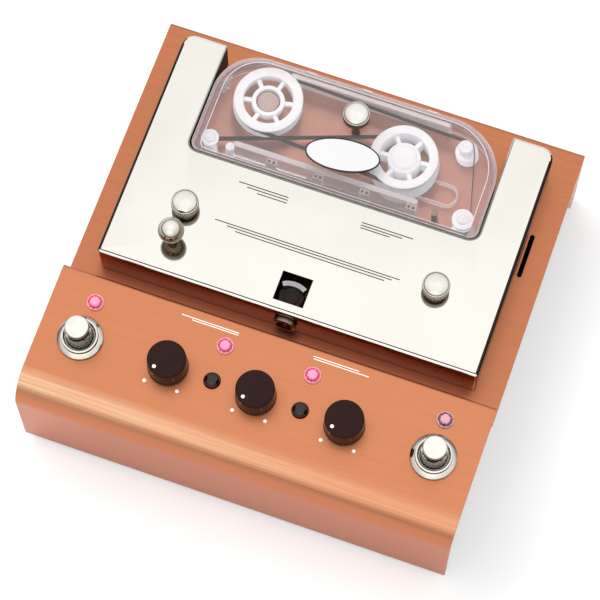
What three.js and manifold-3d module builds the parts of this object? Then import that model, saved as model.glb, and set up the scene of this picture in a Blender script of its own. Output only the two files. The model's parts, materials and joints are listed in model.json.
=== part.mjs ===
// Tape echo unit: a low metal case with foot controls in front and a tape deck behind.
// Millimetres, X right, Y back, Z up. The origin is on the floor under the middle of the outline.
// Inside the unit group, Y counts from the front wall and Z from the underside of the case.

import * as THREE from "three";
import { mergeVertices } from "three/addons/utils/BufferGeometryUtils.js";
import Module from "manifold-3d";

// Gaps between pieces
const seat = 0.3;
const slip = 0.3;
const over = 1;

// Facets of round pieces
const facets = { small: 12, medium: 20, large: 28, bend: 5, corner: 3, dome: 3 };

// Case of bent sheet
const shell = {
  width: 210,
  depth: 205,
  sheet: 1.5,
  frontHeight: 60.4,
  slope: THREE.MathUtils.degToRad(2.3),
  panelDepth: 65.6,
  deckHeight: 47.5,
  frontBend: 16,
  flangeBend: 2,
  rearBend: 2.5,
  lap: 7,
};

// Base pan whose side walls stand inside the cheeks
const pan = { floor: 1.5, wall: 1.5 };

// Cheeks of the sheets: plates flush with their side edges, whose front edge slants to a narrower foot
const cheek = { rearTop: 29, rearFoot: 8.5, frontTop: 9.6, frontFoot: 4.6 };

const foot = { radius: 8, height: 4, insetX: 17, insetY: 19 };

// Nickel cover over the rear deck, cut out from the back for the cartridge
const cover = {
  arm: 20.8,
  gap: 9.3,
  rear: 193.1,
  height: 20.4,
  sheet: 1.2,
  bevel: 0.9,
  frontCorner: 1.6,
  rearCorner: 6,
  baySide: 0.7,
  bayFront: 1.1,
  cutCorner: 5,
  windowHalf: 7.25,
  windowX: -0.6,
  windowBack: 12.1,
};

// Knurled thumbscrews: shank, smooth collar, head, low dome
const thumb = {
  shank: 1.8,
  collar: 5.3,
  collarHeight: 2.6,
  head: 6.45,
  headHeight: 4.6,
  domeHeight: 2.2,
  coverX: 61,
  coverBack: 33.5,
  cartridgeX: -1.5,
  cartridgeY: 178.4,
  reach: 5,
};

// Screw in the middle of the cover's front wall
const frontScrew = { head: 5.6, thick: 2.4, dish: 1, rim: 1.1, socket: 2, shank: 1.7, drop: 10.9 };

// Release knob: a ball on a stem that passes through the cover
const release = {
  x: -61.2,
  back: 16.6,
  ball: 6.1,
  ballHeight: 11.5,
  neck: 2,
  stem: 2.5,
  ring: 4.2,
  ringThick: 1.6,
  travel: 3,
  ground: 1.4,
};

// Tape cartridge
const cartridge = {
  half: 70.6,
  front: 138.4,
  rear: 193.7,
  frontCorner: 4.5,
  rearLeftCorner: 22,
  rearRightCorner: 28,
  wall: 1.5,
  floor: 1.8,
  rim: 16.4,
  lid: 2,
  mouthHalf: 56,
  mouthX: 3,
  mouthRoom: 1.7,
};

// Endless tape, and the room it has between its wheels' rims
const tape = { thick: 0.3, width: 3.8, room: 0.2, steps: 9 };

// Front run of the tape
const runY = 145.35;

// Reels: ring with a channel for the tape, six spokes, hub
const reel = { inner: 12.15, rimThick: 0.9, hub: 7.75, bore: 5.75, spokes: 6, spoke: 2.4 };
const reelLeft = { x: -44, y: 175.5, flange: 16.4, channel: 14.3, turn: THREE.MathUtils.degToRad(12) };
const reelRight = { x: 25.2, y: 169, flange: 16.1, channel: 13.3, turn: THREE.MathUtils.degToRad(4) };
const spokeDrop = 1.6;
const hubDome = 1.5;
const axle = 2.2;
const bossGap = 0.45;

// Guide rollers on pins
const pin = 1.1;
const guideDisc = 0.9;
const frontCore = 2.7;
const frontGuideY = runY + frontCore + slip + tape.thick / 2;
const guides = {
  guide_front_left: { x: -63.4, y: frontGuideY, core: frontCore, disc: 4.2 },
  guide_front_right: { x: 60.9, y: frontGuideY, core: frontCore, disc: 5.1 },
  guide_rear_right: { x: 51, y: 183, core: 3.4, disc: 5.3, low: true },
};

// Bar with four pressure pads behind the front run
const pads = {
  count: 4,
  pitch: 22.8,
  centre: 2,
  width: 5,
  barFrom: -52.5,
  barTo: 38.6,
  barY: 148.7,
  barThick: 3,
  endX: -53.2,
  endY: 148,
  endRadius: 2.1,
  height: 9.6,
};

// Low oval rib on the cartridge floor, open where the right reel turns
const rib = { from: 34, to: 48.5, y: 161.6, radius: 5.4, thick: 1, height: 2 };

const badge = {
  x: -1.2,
  y: 158,
  halfWidth: 17.4,
  halfDepth: 8,
  turn: THREE.MathUtils.degToRad(8.5),
  thick: 0.5,
};

// Lock button, lever and head carriage
const lock = {
  back: 10.3,
  x: -0.8,
  radius: 6.3,
  lip: 2.6,
  lipHalf: 6.3,
  lipRadius: 11.6,
  lipGap: 0.4,
  lipRise: 3.6,
  travel: 2.4,
  plate: 2,
  arm: 3.2,
};
const lever = { back: 24.8, thick: 2, end: 3.4, armLock: 8, armHead: 10, pin: 1.3, pivot: 1.8 };
const carriage = {
  travel: 3,
  from: -50,
  margin: 2,
  back: 5,
  nosing: 2.3,
  thick: 2,
  postX: 30,
  postBack: 12,
  tongue: 3.4,
};
const head = { width: 8.6, depth: 9.4, height: 8, nose: 1.6 };
const roller = { x: 47.5, radius: 4.5, height: 5.2, pin: 1.4 };

// Capstan with its flywheel, motor and belt
const capstan = { radius: 1.5, top: 13, gap: 1 };
const flywheel = { radius: 18, hub: 4, bottom: 30.5, height: 7 };
const bearing = { radius: 4.5, height: 8, blind: 1.5 };
const motor = { x: -20, y: 150, radius: 16, height: 24, cap: 6, capHeight: 1.5 };
const pulley = { radius: 5, shaft: 1.2, socket: 6 };
const belt = { width: 3, thick: 1 };

// Front panel controls, placed along the panel from the front corner
const knob = {
  base: 9.5,
  top: 8.95,
  height: 11.4,
  recess: 6.4,
  recessDepth: 3.4,
  shaft: 2.9,
  sunk: 9,
  edge: 0.7,
  front: 17.5,
  pitch: 42.4,
};
const knobs = { knob_left: -knob.pitch, knob_centre: 0, knob_right: knob.pitch };
const pot = { can: 8.2, canHeight: 7, bush: 3.5, bushHeight: 2.4, floor: 1.2 };
const button = {
  radius: 3.6,
  dome: 3.4,
  rim: 0.9,
  flange: 5.2,
  flangeThick: 1,
  travel: 1.5,
  front: 17.3,
  x: 21.2,
  plunger: 1.4,
};
const buttons = { button_left: -button.x, button_right: button.x };
const buttonSwitch = { half: 4.2, height: 6 };
const footswitch = {
  edge: 20,
  front: 18.1,
  cap: 5.5,
  capThick: 2.4,
  capTop: 17.7,
  travel: 2.4,
  plunger: 4.4,
  bush: 6.1,
  bore: 4.7,
  canHalf: 8.5,
  canHeight: 22,
  washer: 8,
  washerThick: 1.5,
};
const nut = { base: 10.7, foot: 1.2, shoulder: 8.6, height: 4.6, dish: 1.6, dishFloor: 7.4 };
const led = {
  bezel: 4,
  bezelHeight: 1.1,
  lens: 3.1,
  lensHeight: 2.5,
  barrel: 2.9,
  depth: 8,
  step: 13.1,
  edge: 20.5,
  inner: 21.1,
};
const ledOuter = shell.width / 2 - led.edge;
const leds = { led_1: -ledOuter, led_2: -led.inner, led_3: led.inner, led_4: ledOuter };

// Circuit board under the pots
const board = { gap: 4.5, front: 14, step: 7.6, thick: 1.6 };

// Rear sockets
const jack = { bush: 5.2, bore: 3.3, nut: 7.6, proud: 2.5, half: 7.5, depth: 26, height: 26, edge: 30 };
const jackX = shell.width / 2 - jack.edge;
const jacks = { jack_input: jackX, jack_output: -jackX };
const inlet = {
  barrel: 5.6,
  bore: 3,
  flange: 7,
  proud: 2,
  depth: 14,
  pin: 1,
  pinSink: 5.2,
  gap: 35,
  height: 26,
};
const inletX = inlet.gap - jackX;

// Slot in the deck beside the cover
const slot = { edge: 11, from: 136, to: 156.3, half: 1.1 };
const slotX = shell.width / 2 - slot.edge;

// Places that follow from the sizes above
const footswitchX = shell.width / 2 - footswitch.edge;
const ledY = shell.panelDepth - led.step;
const knobY = ledY - knob.front;
const buttonY = ledY - button.front;
const footswitchY = ledY - footswitch.front;
const coverFront = shell.panelDepth + cover.gap;
const windowY = coverFront + cover.windowBack;
const screwY = coverFront + thumb.coverBack;
const releaseY = coverFront + release.back;
const lockY = coverFront + lock.back;
const leverY = lockY + lever.back;
const carriageFront = leverY + carriage.back;
const postY = leverY + carriage.postBack;

// Heights that follow from the sizes above
const deckUnder = shell.deckHeight - shell.sheet;
const coverTop = shell.deckHeight + cover.height;
const coverUnder = coverTop - cover.sheet;
const frontScrewZ = coverTop - frontScrew.drop;
const trayFloor = shell.deckHeight + seat + cartridge.floor;
const trayRim = shell.deckHeight + cartridge.rim + seat;
const lidTop = trayRim + seat + cartridge.lid;
const middle = (shell.depth + jack.proud) / 2;
const tapeFront = runY - tape.thick / 2;
const tapeBack = runY + tape.thick / 2;
const capstanY = tapeBack + seat + capstan.radius;
const headNose = tapeFront - seat - carriage.travel;
const cutHalf = cartridge.half + cover.baySide;
const cutFront = cartridge.front - cover.bayFront;
const coverHalf = cutHalf + cover.arm;
const rollerY = headNose - roller.radius;

// Levels in the cartridge: the low reel and run, then the high reel above that run, and its own run
const reelRightBottom = trayFloor + seat;
const tapeLow = reelRightBottom + reel.rimThick + tape.room + tape.width / 2;
const reelLeftBottom = tapeLow + tape.width / 2 + tape.room;
const tapeHigh = reelLeftBottom + reel.rimThick + tape.room + tape.width / 2;
const reelTop = tapeHigh + tape.width / 2 + tape.room + reel.rimThick;
const plateTop = shell.deckHeight + seat + carriage.thick;
const leverBottom = plateTop + seat;
const headBottom = plateTop + seat;
const mouthTop = headBottom + head.height + cartridge.mouthRoom;
const lipTop = coverUnder - lock.lipGap;
const lockTop = lipTop - lock.lipRise;

// Boolean solids
const wasm = await Module();
wasm.setup();
const weld = 1e-4;

function volumeOf(position, index) {
  const corners = [new THREE.Vector3(), new THREE.Vector3(), new THREE.Vector3()];
  let six = 0;
  for (let i = 0; i < index.length; i += 3) {
    corners.forEach((corner, k) => corner.fromBufferAttribute(position, index[i + k]));
    six += corners[0].dot(corners[1].cross(corners[2]));
  }
  return six / 6;
}

// Welds a closed geometry, drops triangles of no area and turns its faces outward.
function closed(geometry) {
  const bare = geometry.clone();
  bare.deleteAttribute("normal");
  bare.deleteAttribute("uv");
  const welded = mergeVertices(bare, weld);
  const all = Array.from(welded.index.array);
  const kept = [];
  for (let i = 0; i < all.length; i += 3) {
    const [a, b, c] = all.slice(i, i + 3);
    if (a !== b && b !== c && c !== a) {
      kept.push(a, b, c);
    }
  }
  if (volumeOf(welded.attributes.position, kept) < 0) {
    kept.reverse();
  }
  welded.setIndex(kept);
  return welded;
}

function solid(geometry) {
  const ready = closed(geometry);
  return new wasm.Manifold(new wasm.Mesh({
    numProp: 3,
    vertProperties: Float32Array.from(ready.attributes.position.array),
    triVerts: Uint32Array.from(ready.index.array),
  }));
}

function geometryOf(manifold) {
  const mesh = manifold.getMesh();
  const geometry = new THREE.BufferGeometry();
  geometry.setAttribute("position", new THREE.BufferAttribute(mesh.vertProperties, 3));
  geometry.setIndex(new THREE.BufferAttribute(mesh.triVerts, 1));
  return geometry;
}

function cut(geometry, ...tools) {
  return geometryOf(tools.reduce((body, tool) => body.subtract(solid(tool)), solid(geometry)));
}

function join(geometry, ...others) {
  return geometryOf(others.reduce((body, other) => body.add(solid(other)), solid(geometry)));
}

// Basic shapes
function block(x0, x1, y0, y1, z0, z1) {
  const geometry = new THREE.BoxGeometry(x1 - x0, y1 - y0, z1 - z0);
  return geometry.translate((x0 + x1) / 2, (y0 + y1) / 2, (z0 + z1) / 2);
}

function rod(x, y, radius, z0, z1, sides = facets.small) {
  const geometry = new THREE.CylinderGeometry(radius, radius, z1 - z0, sides);
  return geometry.rotateX(Math.PI / 2).translate(x, y, (z0 + z1) / 2);
}

// Turned piece about Z, from [radius, height] pairs
function turned(profile, sides = facets.medium) {
  const points = profile.map(([radius, height]) => new THREE.Vector2(radius, height));
  return new THREE.LatheGeometry(points, sides).rotateX(Math.PI / 2);
}

// Turned ring, whose profile closes on itself
function ring(profile, sides = facets.medium) {
  return turned([...profile, profile[0]], sides);
}

// Quarter round of a dome, from its edge to the axis
function dome(radius, z, height) {
  const points = [];
  for (let i = 0; i <= facets.dome; i += 1) {
    const angle = (Math.PI / 2) * (i / facets.dome);
    points.push([i < facets.dome ? radius * Math.cos(angle) : 0, z + height * Math.sin(angle)]);
  }
  return points;
}

// Polygon with rounded corners, given anticlockwise as {x, y, r}
function outline(corners) {
  const points = [];
  corners.forEach((corner, i) => {
    const before = corners[(i + corners.length - 1) % corners.length];
    const after = corners[(i + 1) % corners.length];
    const here = new THREE.Vector2(corner.x, corner.y);
    if (!corner.r) {
      points.push(here);
      return;
    }
    const inward = new THREE.Vector2(before.x, before.y).sub(here).normalize();
    const outward = new THREE.Vector2(after.x, after.y).sub(here).normalize();
    const half = Math.acos(inward.dot(outward)) / 2;
    const middleWay = inward.clone().add(outward).normalize();
    const centre = middleWay.multiplyScalar(corner.r / Math.sin(half)).add(here);
    const start = here.clone().addScaledVector(inward, corner.r / Math.tan(half)).sub(centre);
    const end = here.clone().addScaledVector(outward, corner.r / Math.tan(half)).sub(centre);
    const sweep = Math.atan2(start.x * end.y - start.y * end.x, start.dot(end));
    for (let k = 0; k <= facets.corner; k += 1) {
      points.push(start.clone().rotateAround(new THREE.Vector2(), (sweep * k) / facets.corner).add(centre));
    }
  });
  return points;
}

function slab(points, z0, z1, holes = []) {
  const shape = new THREE.Shape(points);
  shape.holes = holes.map((hole) => new THREE.Path(hole));
  return new THREE.ExtrudeGeometry(shape, { depth: z1 - z0, bevelEnabled: false }).translate(0, 0, z0);
}

// Slot outline between two points with round ends
function stadium(from, to, radius) {
  const along = new THREE.Vector2().subVectors(to, from).angle();
  const points = [];
  for (let k = 0; k <= facets.bend; k += 1) {
    const angle = along - Math.PI / 2 + (Math.PI * k) / facets.bend;
    points.push(new THREE.Vector2(to.x + radius * Math.cos(angle), to.y + radius * Math.sin(angle)));
  }
  for (let k = 0; k <= facets.bend; k += 1) {
    const angle = along + Math.PI / 2 + (Math.PI * k) / facets.bend;
    points.push(new THREE.Vector2(from.x + radius * Math.cos(angle), from.y + radius * Math.sin(angle)));
  }
  return points;
}

// Side view of bent sheet: outer corners with their bend radii, the metal to the right of the path
function bentSheet(corners, thickness) {
  const outer = [];
  const inner = [];
  corners.forEach((corner, i) => {
    const here = new THREE.Vector2(corner.y, corner.z);
    const before = corners[i - 1];
    const after = corners[i + 1];
    const arriving = before ? here.clone().sub(new THREE.Vector2(before.y, before.z)).normalize() : null;
    const leaving = after ? new THREE.Vector2(after.y, after.z).sub(here).normalize() : null;
    if (!arriving || !leaving) {
      const way = arriving ?? leaving;
      outer.push(here);
      inner.push(new THREE.Vector2(way.y, -way.x).multiplyScalar(thickness).add(here));
      return;
    }
    const turn = Math.acos(arriving.dot(leaving));
    const side = new THREE.Vector2(arriving.y, -arriving.x);
    const start = here.clone().addScaledVector(arriving, -corner.r * Math.tan(turn / 2));
    const centre = start.clone().addScaledVector(side, corner.r);
    for (let k = 0; k <= facets.bend; k += 1) {
      const out = side.clone().negate().rotateAround(new THREE.Vector2(), (-turn * k) / facets.bend);
      outer.push(out.clone().multiplyScalar(corner.r).add(centre));
      inner.push(out.clone().multiplyScalar(corner.r - thickness).add(centre));
    }
  });
  return [...outer, ...inner.reverse()];
}

// Extrudes a side view along X
const sideways = new THREE.Matrix4().makeBasis(
  new THREE.Vector3(0, 1, 0),
  new THREE.Vector3(0, 0, 1),
  new THREE.Vector3(1, 0, 0),
);

function acrossX(points, x0, x1) {
  return slab(points, x0, x1).applyMatrix4(sideways);
}

// Colours and finishes
const looks = {
  copper: { color: 0xcd7a50, roughness: 0.35, metalness: 0.9 },
  nickel: { color: 0xf0ece0, roughness: 0.12, metalness: 1 },
  blackSteel: { color: 0x1c1c1e, roughness: 0.6, metalness: 0.4 },
  chrome: { color: 0xe4e4e2, roughness: 0.1, metalness: 1 },
  steel: { color: 0x9a9c9e, roughness: 0.35, metalness: 1 },
  rubber: { color: 0x161616, roughness: 0.9, metalness: 0 },
  darkPlastic: { color: 0x1d1513, roughness: 0.25, metalness: 0 },
  whitePlastic: { color: 0xf2f4f6, roughness: 0.4, metalness: 0 },
  clear: { color: 0xe6d8d4, roughness: 0.08, metalness: 0 },
  milky: { color: 0xdfdfe0, roughness: 0.3, metalness: 0 },
  tape: { color: 0x3a2620, roughness: 0.35, metalness: 0.1 },
  lens: { color: 0xf07a9a, roughness: 0.2, metalness: 0 },
  board: { color: 0x1f5a36, roughness: 0.6, metalness: 0 },
  badge: { color: 0xfafafa, roughness: 0.4, metalness: 0 },
  brass: { color: 0xb8964e, roughness: 0.3, metalness: 1 },
};

const unit = new THREE.Group();
unit.position.set(0, -middle, foot.height);
const panel = new THREE.Group();
panel.position.set(0, 0, shell.frontHeight);
panel.rotation.x = shell.slope;
unit.add(panel);
panel.updateMatrix();

function add(name, geometry, look, parent = unit) {
  const mesh = new THREE.Mesh(closed(geometry), new THREE.MeshStandardMaterial(looks[look]));
  mesh.name = name;
  parent.add(mesh);
  return mesh;
}

// Front sheet: front wall, bend, control panel and the flange down to the deck
const panelRear = shell.frontHeight + shell.panelDepth * Math.tan(shell.slope);
const panelHoles = [];

function panelHole(x, y, radius) {
  panelHoles.push(rod(x, y, radius, -shell.sheet - over, over).applyMatrix4(panel.matrix));
}

Object.values(knobs).forEach((x) => panelHole(x, knobY, pot.bush + slip));
Object.values(buttons).forEach((x) => panelHole(x, buttonY, button.radius + slip));
Object.values(leds).forEach((x) => panelHole(x, ledY, led.barrel + slip));
[-footswitchX, footswitchX].forEach((x) => panelHole(x, footswitchY, footswitch.bush + slip));

const frontProfile = [
  { y: 0, z: 0 },
  { y: 0, z: shell.frontHeight, r: shell.frontBend },
  { y: shell.panelDepth, z: panelRear, r: shell.flangeBend },
  { y: shell.panelDepth, z: shell.deckHeight + seat },
];
const frontSheet = acrossX(bentSheet(frontProfile, shell.sheet), -shell.width / 2, shell.width / 2);

// Pair of cheeks from their side view, given anticlockwise as [y, z]
function cheeks(corners) {
  const view = corners.map(([y, z]) => new THREE.Vector2(y, z));
  return [-1, 1].map((side) => {
    const inner = side * (shell.width / 2 - shell.sheet);
    const outer = (side * shell.width) / 2;
    return acrossX(view, Math.min(inner, outer), Math.max(inner, outer));
  });
}

const flangeMiddle = shell.panelDepth - shell.flangeBend / 2;
const frontCheekTop = panelRear - shell.flangeBend / 2;
const frontCheekFoot = shell.deckHeight + seat;
const frontCheeks = cheeks([
  [shell.panelDepth - cheek.frontFoot, frontCheekFoot],
  [flangeMiddle, frontCheekFoot],
  [flangeMiddle, frontCheekTop],
  [shell.panelDepth - cheek.frontTop, frontCheekTop - cheek.frontTop * Math.tan(shell.slope)],
]);
add("front_panel", cut(join(frontSheet, ...frontCheeks), ...panelHoles), "copper");

// Deck sheet: deck and rear wall, with posts for the lever, the carriage and the lock slider
const deckProfile = [
  { y: shell.panelDepth - shell.lap, z: shell.deckHeight },
  { y: shell.depth, z: shell.deckHeight, r: shell.rearBend },
  { y: shell.depth, z: 0 },
];
const lockPostY = lockY + lock.radius + 6 * lever.pivot;
const leverTop = leverBottom + lever.thick;
const deckPosts = [
  rod(0, leverY, lever.pivot, deckUnder, leverTop),
  rod(-lever.armLock, lockPostY, lever.pivot, deckUnder, plateTop),
  rod(-carriage.postX, postY, lever.pivot, deckUnder, plateTop),
  rod(carriage.postX, postY, lever.pivot, deckUnder, plateTop),
];
const shankHoles = [
  [-thumb.coverX, screwY],
  [thumb.coverX, screwY],
  [thumb.cartridgeX, thumb.cartridgeY],
];
const below = deckUnder - over;
const above = shell.deckHeight + over;
const rearWall = shell.depth - shell.sheet;

function rearHole(x, height, radius) {
  const hole = rod(x, -height, radius, rearWall - over, shell.depth + over);
  return hole.rotateX(-Math.PI / 2);
}

const deckSlot = stadium(new THREE.Vector2(slotX, slot.from), new THREE.Vector2(slotX, slot.to), slot.half);
const panX = shell.width / 2 - shell.sheet - seat;
const lapHalf = panX - pan.wall - seat;
const deckHoles = [
  ...[-1, 1].map((side) => block(
    Math.min(side * lapHalf, side * shell.width),
    Math.max(side * lapHalf, side * shell.width),
    0,
    shell.panelDepth - shell.sheet,
    below,
    above,
  )),
  ...shankHoles.map(([x, y]) => rod(x, y, thumb.shank + slip, below, above)),
  rod(roller.x, capstanY, capstan.radius + slip, below, above),
  slab(deckSlot, below, above),
  ...Object.values(jacks).map((x) => rearHole(x, jack.height, jack.bush + slip)),
  rearHole(inletX, inlet.height, inlet.barrel + slip),
];
const deckSheet = acrossX(bentSheet(deckProfile, shell.sheet), -shell.width / 2, shell.width / 2);
const rearMiddle = shell.depth - shell.rearBend / 2;
const rearCheekTop = shell.deckHeight - shell.rearBend / 2;
const rearCheeks = cheeks([
  [shell.depth - cheek.rearFoot, 0],
  [rearMiddle, 0],
  [rearMiddle, rearCheekTop],
  [shell.depth - cheek.rearTop, rearCheekTop],
]);
add("deck_panel", cut(join(deckSheet, ...rearCheeks, ...deckPosts), ...deckHoles), "copper");

// Base pan: floor, two side walls that follow the sheets, and the capstan's bearing
const panInner = shell.sheet + seat;
const flangeY = shell.panelDepth - panInner;
const wallRear = shell.depth - panInner;
const wallDeck = deckUnder - seat;
const underSlope = (y) => shell.frontHeight + y * Math.tan(shell.slope) - panInner / Math.cos(shell.slope);
const wallCorners = [
  { y: panInner, z: 0 },
  { y: panInner, z: underSlope(panInner), r: shell.frontBend - panInner },
  { y: flangeY, z: underSlope(flangeY) },
  { y: flangeY, z: wallDeck },
  { y: wallRear, z: wallDeck, r: shell.rearBend },
  { y: wallRear, z: 0 },
].map(({ y, z, r }) => ({ x: y, y: z, r })).reverse();
const wallView = outline(wallCorners);
const panPieces = [];
[-1, 1].forEach((side) => {
  const outside = side * panX;
  const inside = side * (panX - pan.wall);
  panPieces.push(acrossX(wallView, Math.min(outside, inside), Math.max(outside, inside)));
});
const bearingPost = rod(roller.x, capstanY, bearing.radius, pan.floor / 2, pan.floor + bearing.height);
const bearingBore = rod(
  roller.x,
  capstanY,
  capstan.radius + slip,
  pan.floor + bearing.blind,
  pan.floor + bearing.height + over,
);
const panFloor = block(-panX, panX, panInner, wallRear, 0, pan.floor);
add("base_pan", cut(join(panFloor, ...panPieces, bearingPost), bearingBore), "blackSteel");

// Rubber feet
const footY = { front: foot.insetY, rear: shell.depth - foot.insetY };
Object.entries(footY).forEach(([row, y]) => {
  [["left", -1], ["right", 1]].forEach(([name, side]) => {
    const x = side * (shell.width / 2 - foot.insetX);
    const profile = [
      [0, -foot.height],
      [foot.radius - seat, -foot.height],
      [foot.radius, -foot.height + seat],
      [foot.radius, -seat],
      [0, -seat],
    ];
    const mesh = add(`foot_${row}_${name}`, turned(profile, facets.small), "rubber");
    mesh.position.set(x, y, 0);
  });
});

// Cover: a folded tray turned over, open to the rear between its two arms
function coverOutline(inset) {
  const half = coverHalf - inset;
  const bayHalf = cutHalf + inset;
  const front = coverFront + inset;
  const rear = cover.rear - inset;
  const bayFront = cutFront - inset;
  const frontCorner = Math.max(cover.frontCorner - inset, 0);
  return outline([
    { x: -half, y: front, r: frontCorner },
    { x: half, y: front, r: frontCorner },
    { x: half, y: rear, r: cover.rearCorner - inset },
    { x: bayHalf, y: rear },
    { x: bayHalf, y: bayFront, r: cover.cutCorner + inset },
    { x: -bayHalf, y: bayFront, r: cover.cutCorner + inset },
    { x: -bayHalf, y: rear },
    { x: -half, y: rear, r: cover.rearCorner - inset },
  ]);
}

const coverBottom = shell.deckHeight + seat;
const coverBlock = new THREE.ExtrudeGeometry(new THREE.Shape(coverOutline(0)), {
  depth: coverTop - coverBottom,
  bevelThickness: cover.bevel,
  bevelSize: cover.bevel,
  bevelOffset: -cover.bevel,
  bevelSegments: 2,
}).translate(0, 0, coverBottom - cover.bevel);
const coverCuts = [
  block(-shell.width, shell.width, 0, shell.depth + over, 0, coverBottom),
  slab(coverOutline(cover.sheet), 0, coverUnder),
  block(
    cover.windowX - cover.windowHalf,
    cover.windowX + cover.windowHalf,
    windowY - cover.windowHalf,
    windowY + cover.windowHalf,
    coverUnder - over,
    coverTop + over,
  ),
  block(
    cartridge.mouthX - cartridge.mouthHalf - over,
    cartridge.mouthX + cartridge.mouthHalf + over,
    cutFront - cover.sheet - over,
    cutFront + over,
    0,
    mouthTop + cover.sheet,
  ),
  rod(-thumb.coverX, screwY, thumb.shank + slip, coverUnder - over, coverTop + over),
  rod(thumb.coverX, screwY, thumb.shank + slip, coverUnder - over, coverTop + over),
  rod(release.x, releaseY, release.stem + slip, coverUnder - over, coverTop + over),
  rod(0, -frontScrewZ, frontScrew.shank + slip, coverFront - over, coverFront + cover.sheet + over)
    .rotateX(-Math.PI / 2),
];
add("deck_cover", cut(coverBlock, ...coverCuts), "nickel");

// Dished screw in the cover's front wall, its axis along Y
const screwProfile = [
  [0, -cover.sheet],
  [frontScrew.shank, -cover.sheet],
  [frontScrew.shank, seat],
  [frontScrew.head, seat],
  [frontScrew.head, frontScrew.thick - frontScrew.rim / 2],
  [frontScrew.head - frontScrew.rim / 2, frontScrew.thick],
  [frontScrew.head - frontScrew.rim, frontScrew.thick],
  [frontScrew.socket + frontScrew.rim, frontScrew.dish],
  [frontScrew.socket, frontScrew.dish],
  [frontScrew.socket, seat + frontScrew.dish / 2],
  [0, seat + frontScrew.dish / 2],
];
const screw = add("front_screw", turned(screwProfile, facets.medium), "chrome");
screw.position.set(0, coverFront, frontScrewZ);
screw.rotation.x = Math.PI / 2;

// Thumbscrews: the cover's two stand on a collar, the cartridge's has its head on the lid
function thumbProfile(collarHeight, shankLength) {
  const headBottom = collarHeight;
  const headTop = headBottom + thumb.headHeight;
  const collar = collarHeight ? [[thumb.collar, 0], [thumb.collar, collarHeight]] : [];
  return [
    [0, -shankLength],
    [thumb.shank, -shankLength],
    [thumb.shank, 0],
    ...collar,
    [thumb.head, headBottom],
    [thumb.head, headTop],
    ...dome(thumb.head - thumb.domeHeight / 4, headTop, thumb.domeHeight),
  ];
}

const coverShank = coverTop + seat - deckUnder + thumb.reach;
[["left", -1], ["right", 1]].forEach(([name, side]) => {
  const profile = thumbProfile(thumb.collarHeight, coverShank);
  const mesh = add(`cover_thumbscrew_${name}`, turned(profile), "chrome");
  mesh.position.set(side * thumb.coverX, screwY, coverTop + seat);
});
const lidSeat = lidTop + seat;
const cartridgeScrew = add(
  "cartridge_thumbscrew",
  turned(thumbProfile(0, lidSeat - deckUnder + thumb.reach)),
  "chrome",
);
cartridgeScrew.position.set(thumb.cartridgeX, thumb.cartridgeY, lidSeat);

// Release knob: stem, ring under the plate, neck and ball
const ballZ = coverTop + release.ballHeight;
const stemBottom = shell.deckHeight + release.travel + release.ground;
const ballPoints = [];
const ballSteps = 3 * facets.dome;
const neckAngle = Math.asin(release.neck / release.ball);
for (let i = 0; i <= ballSteps; i += 1) {
  const angle = neckAngle + (Math.PI - neckAngle) * (i / ballSteps);
  const radius = i < ballSteps ? release.ball * Math.sin(angle) : 0;
  ballPoints.push([radius, ballZ - release.ball * Math.cos(angle)]);
}
const releaseProfile = [
  [0, stemBottom],
  [release.stem, stemBottom],
  [release.stem, coverUnder - seat - release.ringThick],
  [release.ring, coverUnder - seat - release.ringThick],
  [release.ring, coverUnder - seat],
  [release.stem, coverUnder - seat],
  [release.stem, coverTop + release.travel + seat],
  ...ballPoints,
];
const releaseMesh = add("release_button", turned(releaseProfile), "chrome");
releaseMesh.position.set(release.x, releaseY, 0);

// Lock slider: plate with an arm to the lever, and the round button in the window
const slideZ = shell.deckHeight + seat;
const lockPinY = leverY + lock.travel / 2;
const lockPlate = slab(outline([
  { x: -lever.armLock - lock.arm, y: lockY - lock.radius, r: lock.arm / 2 },
  { x: lock.radius, y: lockY - lock.radius, r: lock.arm / 2 },
  { x: lock.radius, y: lockY + lock.radius, r: lock.arm / 2 },
  { x: lock.arm - lever.armLock, y: lockY + lock.radius },
  { x: lock.arm - lever.armLock, y: lockPinY + lock.arm, r: lock.arm / 2 },
  { x: -lever.armLock - lock.arm, y: lockPinY + lock.arm, r: lock.arm / 2 },
]), slideZ, slideZ + lock.plate);
const lockButton = rod(lock.x, lockY, lock.radius, slideZ, lockTop, facets.medium);
const lockPin = rod(-lever.armLock, lockPinY, lever.pin, slideZ, leverTop);
const lockSlot = slab(stadium(
  new THREE.Vector2(-lever.armLock, lockPostY),
  new THREE.Vector2(-lever.armLock, lockPostY + lock.travel),
  lever.pivot + slip,
), slideZ - over, slideZ + lock.plate + over);
add("lock_slider", cut(join(lockPlate, lockButton, lockPin), lockSlot), "darkPlastic");

// Bright curved band across the rear of the lock button
const bandReach = Math.asin(lock.lipHalf / lock.lipRadius);
const band = [];
for (let k = -facets.bend; k <= facets.bend; k += 1) {
  const angle = Math.PI / 2 + (bandReach * k) / facets.bend;
  band.push(new THREE.Vector2(lock.lipRadius * Math.cos(angle), lock.lipRadius * Math.sin(angle)));
}
for (let k = facets.bend; k >= -facets.bend; k -= 1) {
  const angle = Math.PI / 2 + (bandReach * k) / facets.bend;
  const inner = lock.lipRadius - lock.lip;
  band.push(new THREE.Vector2(inner * Math.cos(angle), inner * Math.sin(angle)));
}
const lip = slab(band, lockTop + seat, lipTop);
add("lock_band", lip.translate(lock.x, lockY + lock.radius - lock.lipRadius, 0), "chrome");

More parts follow.
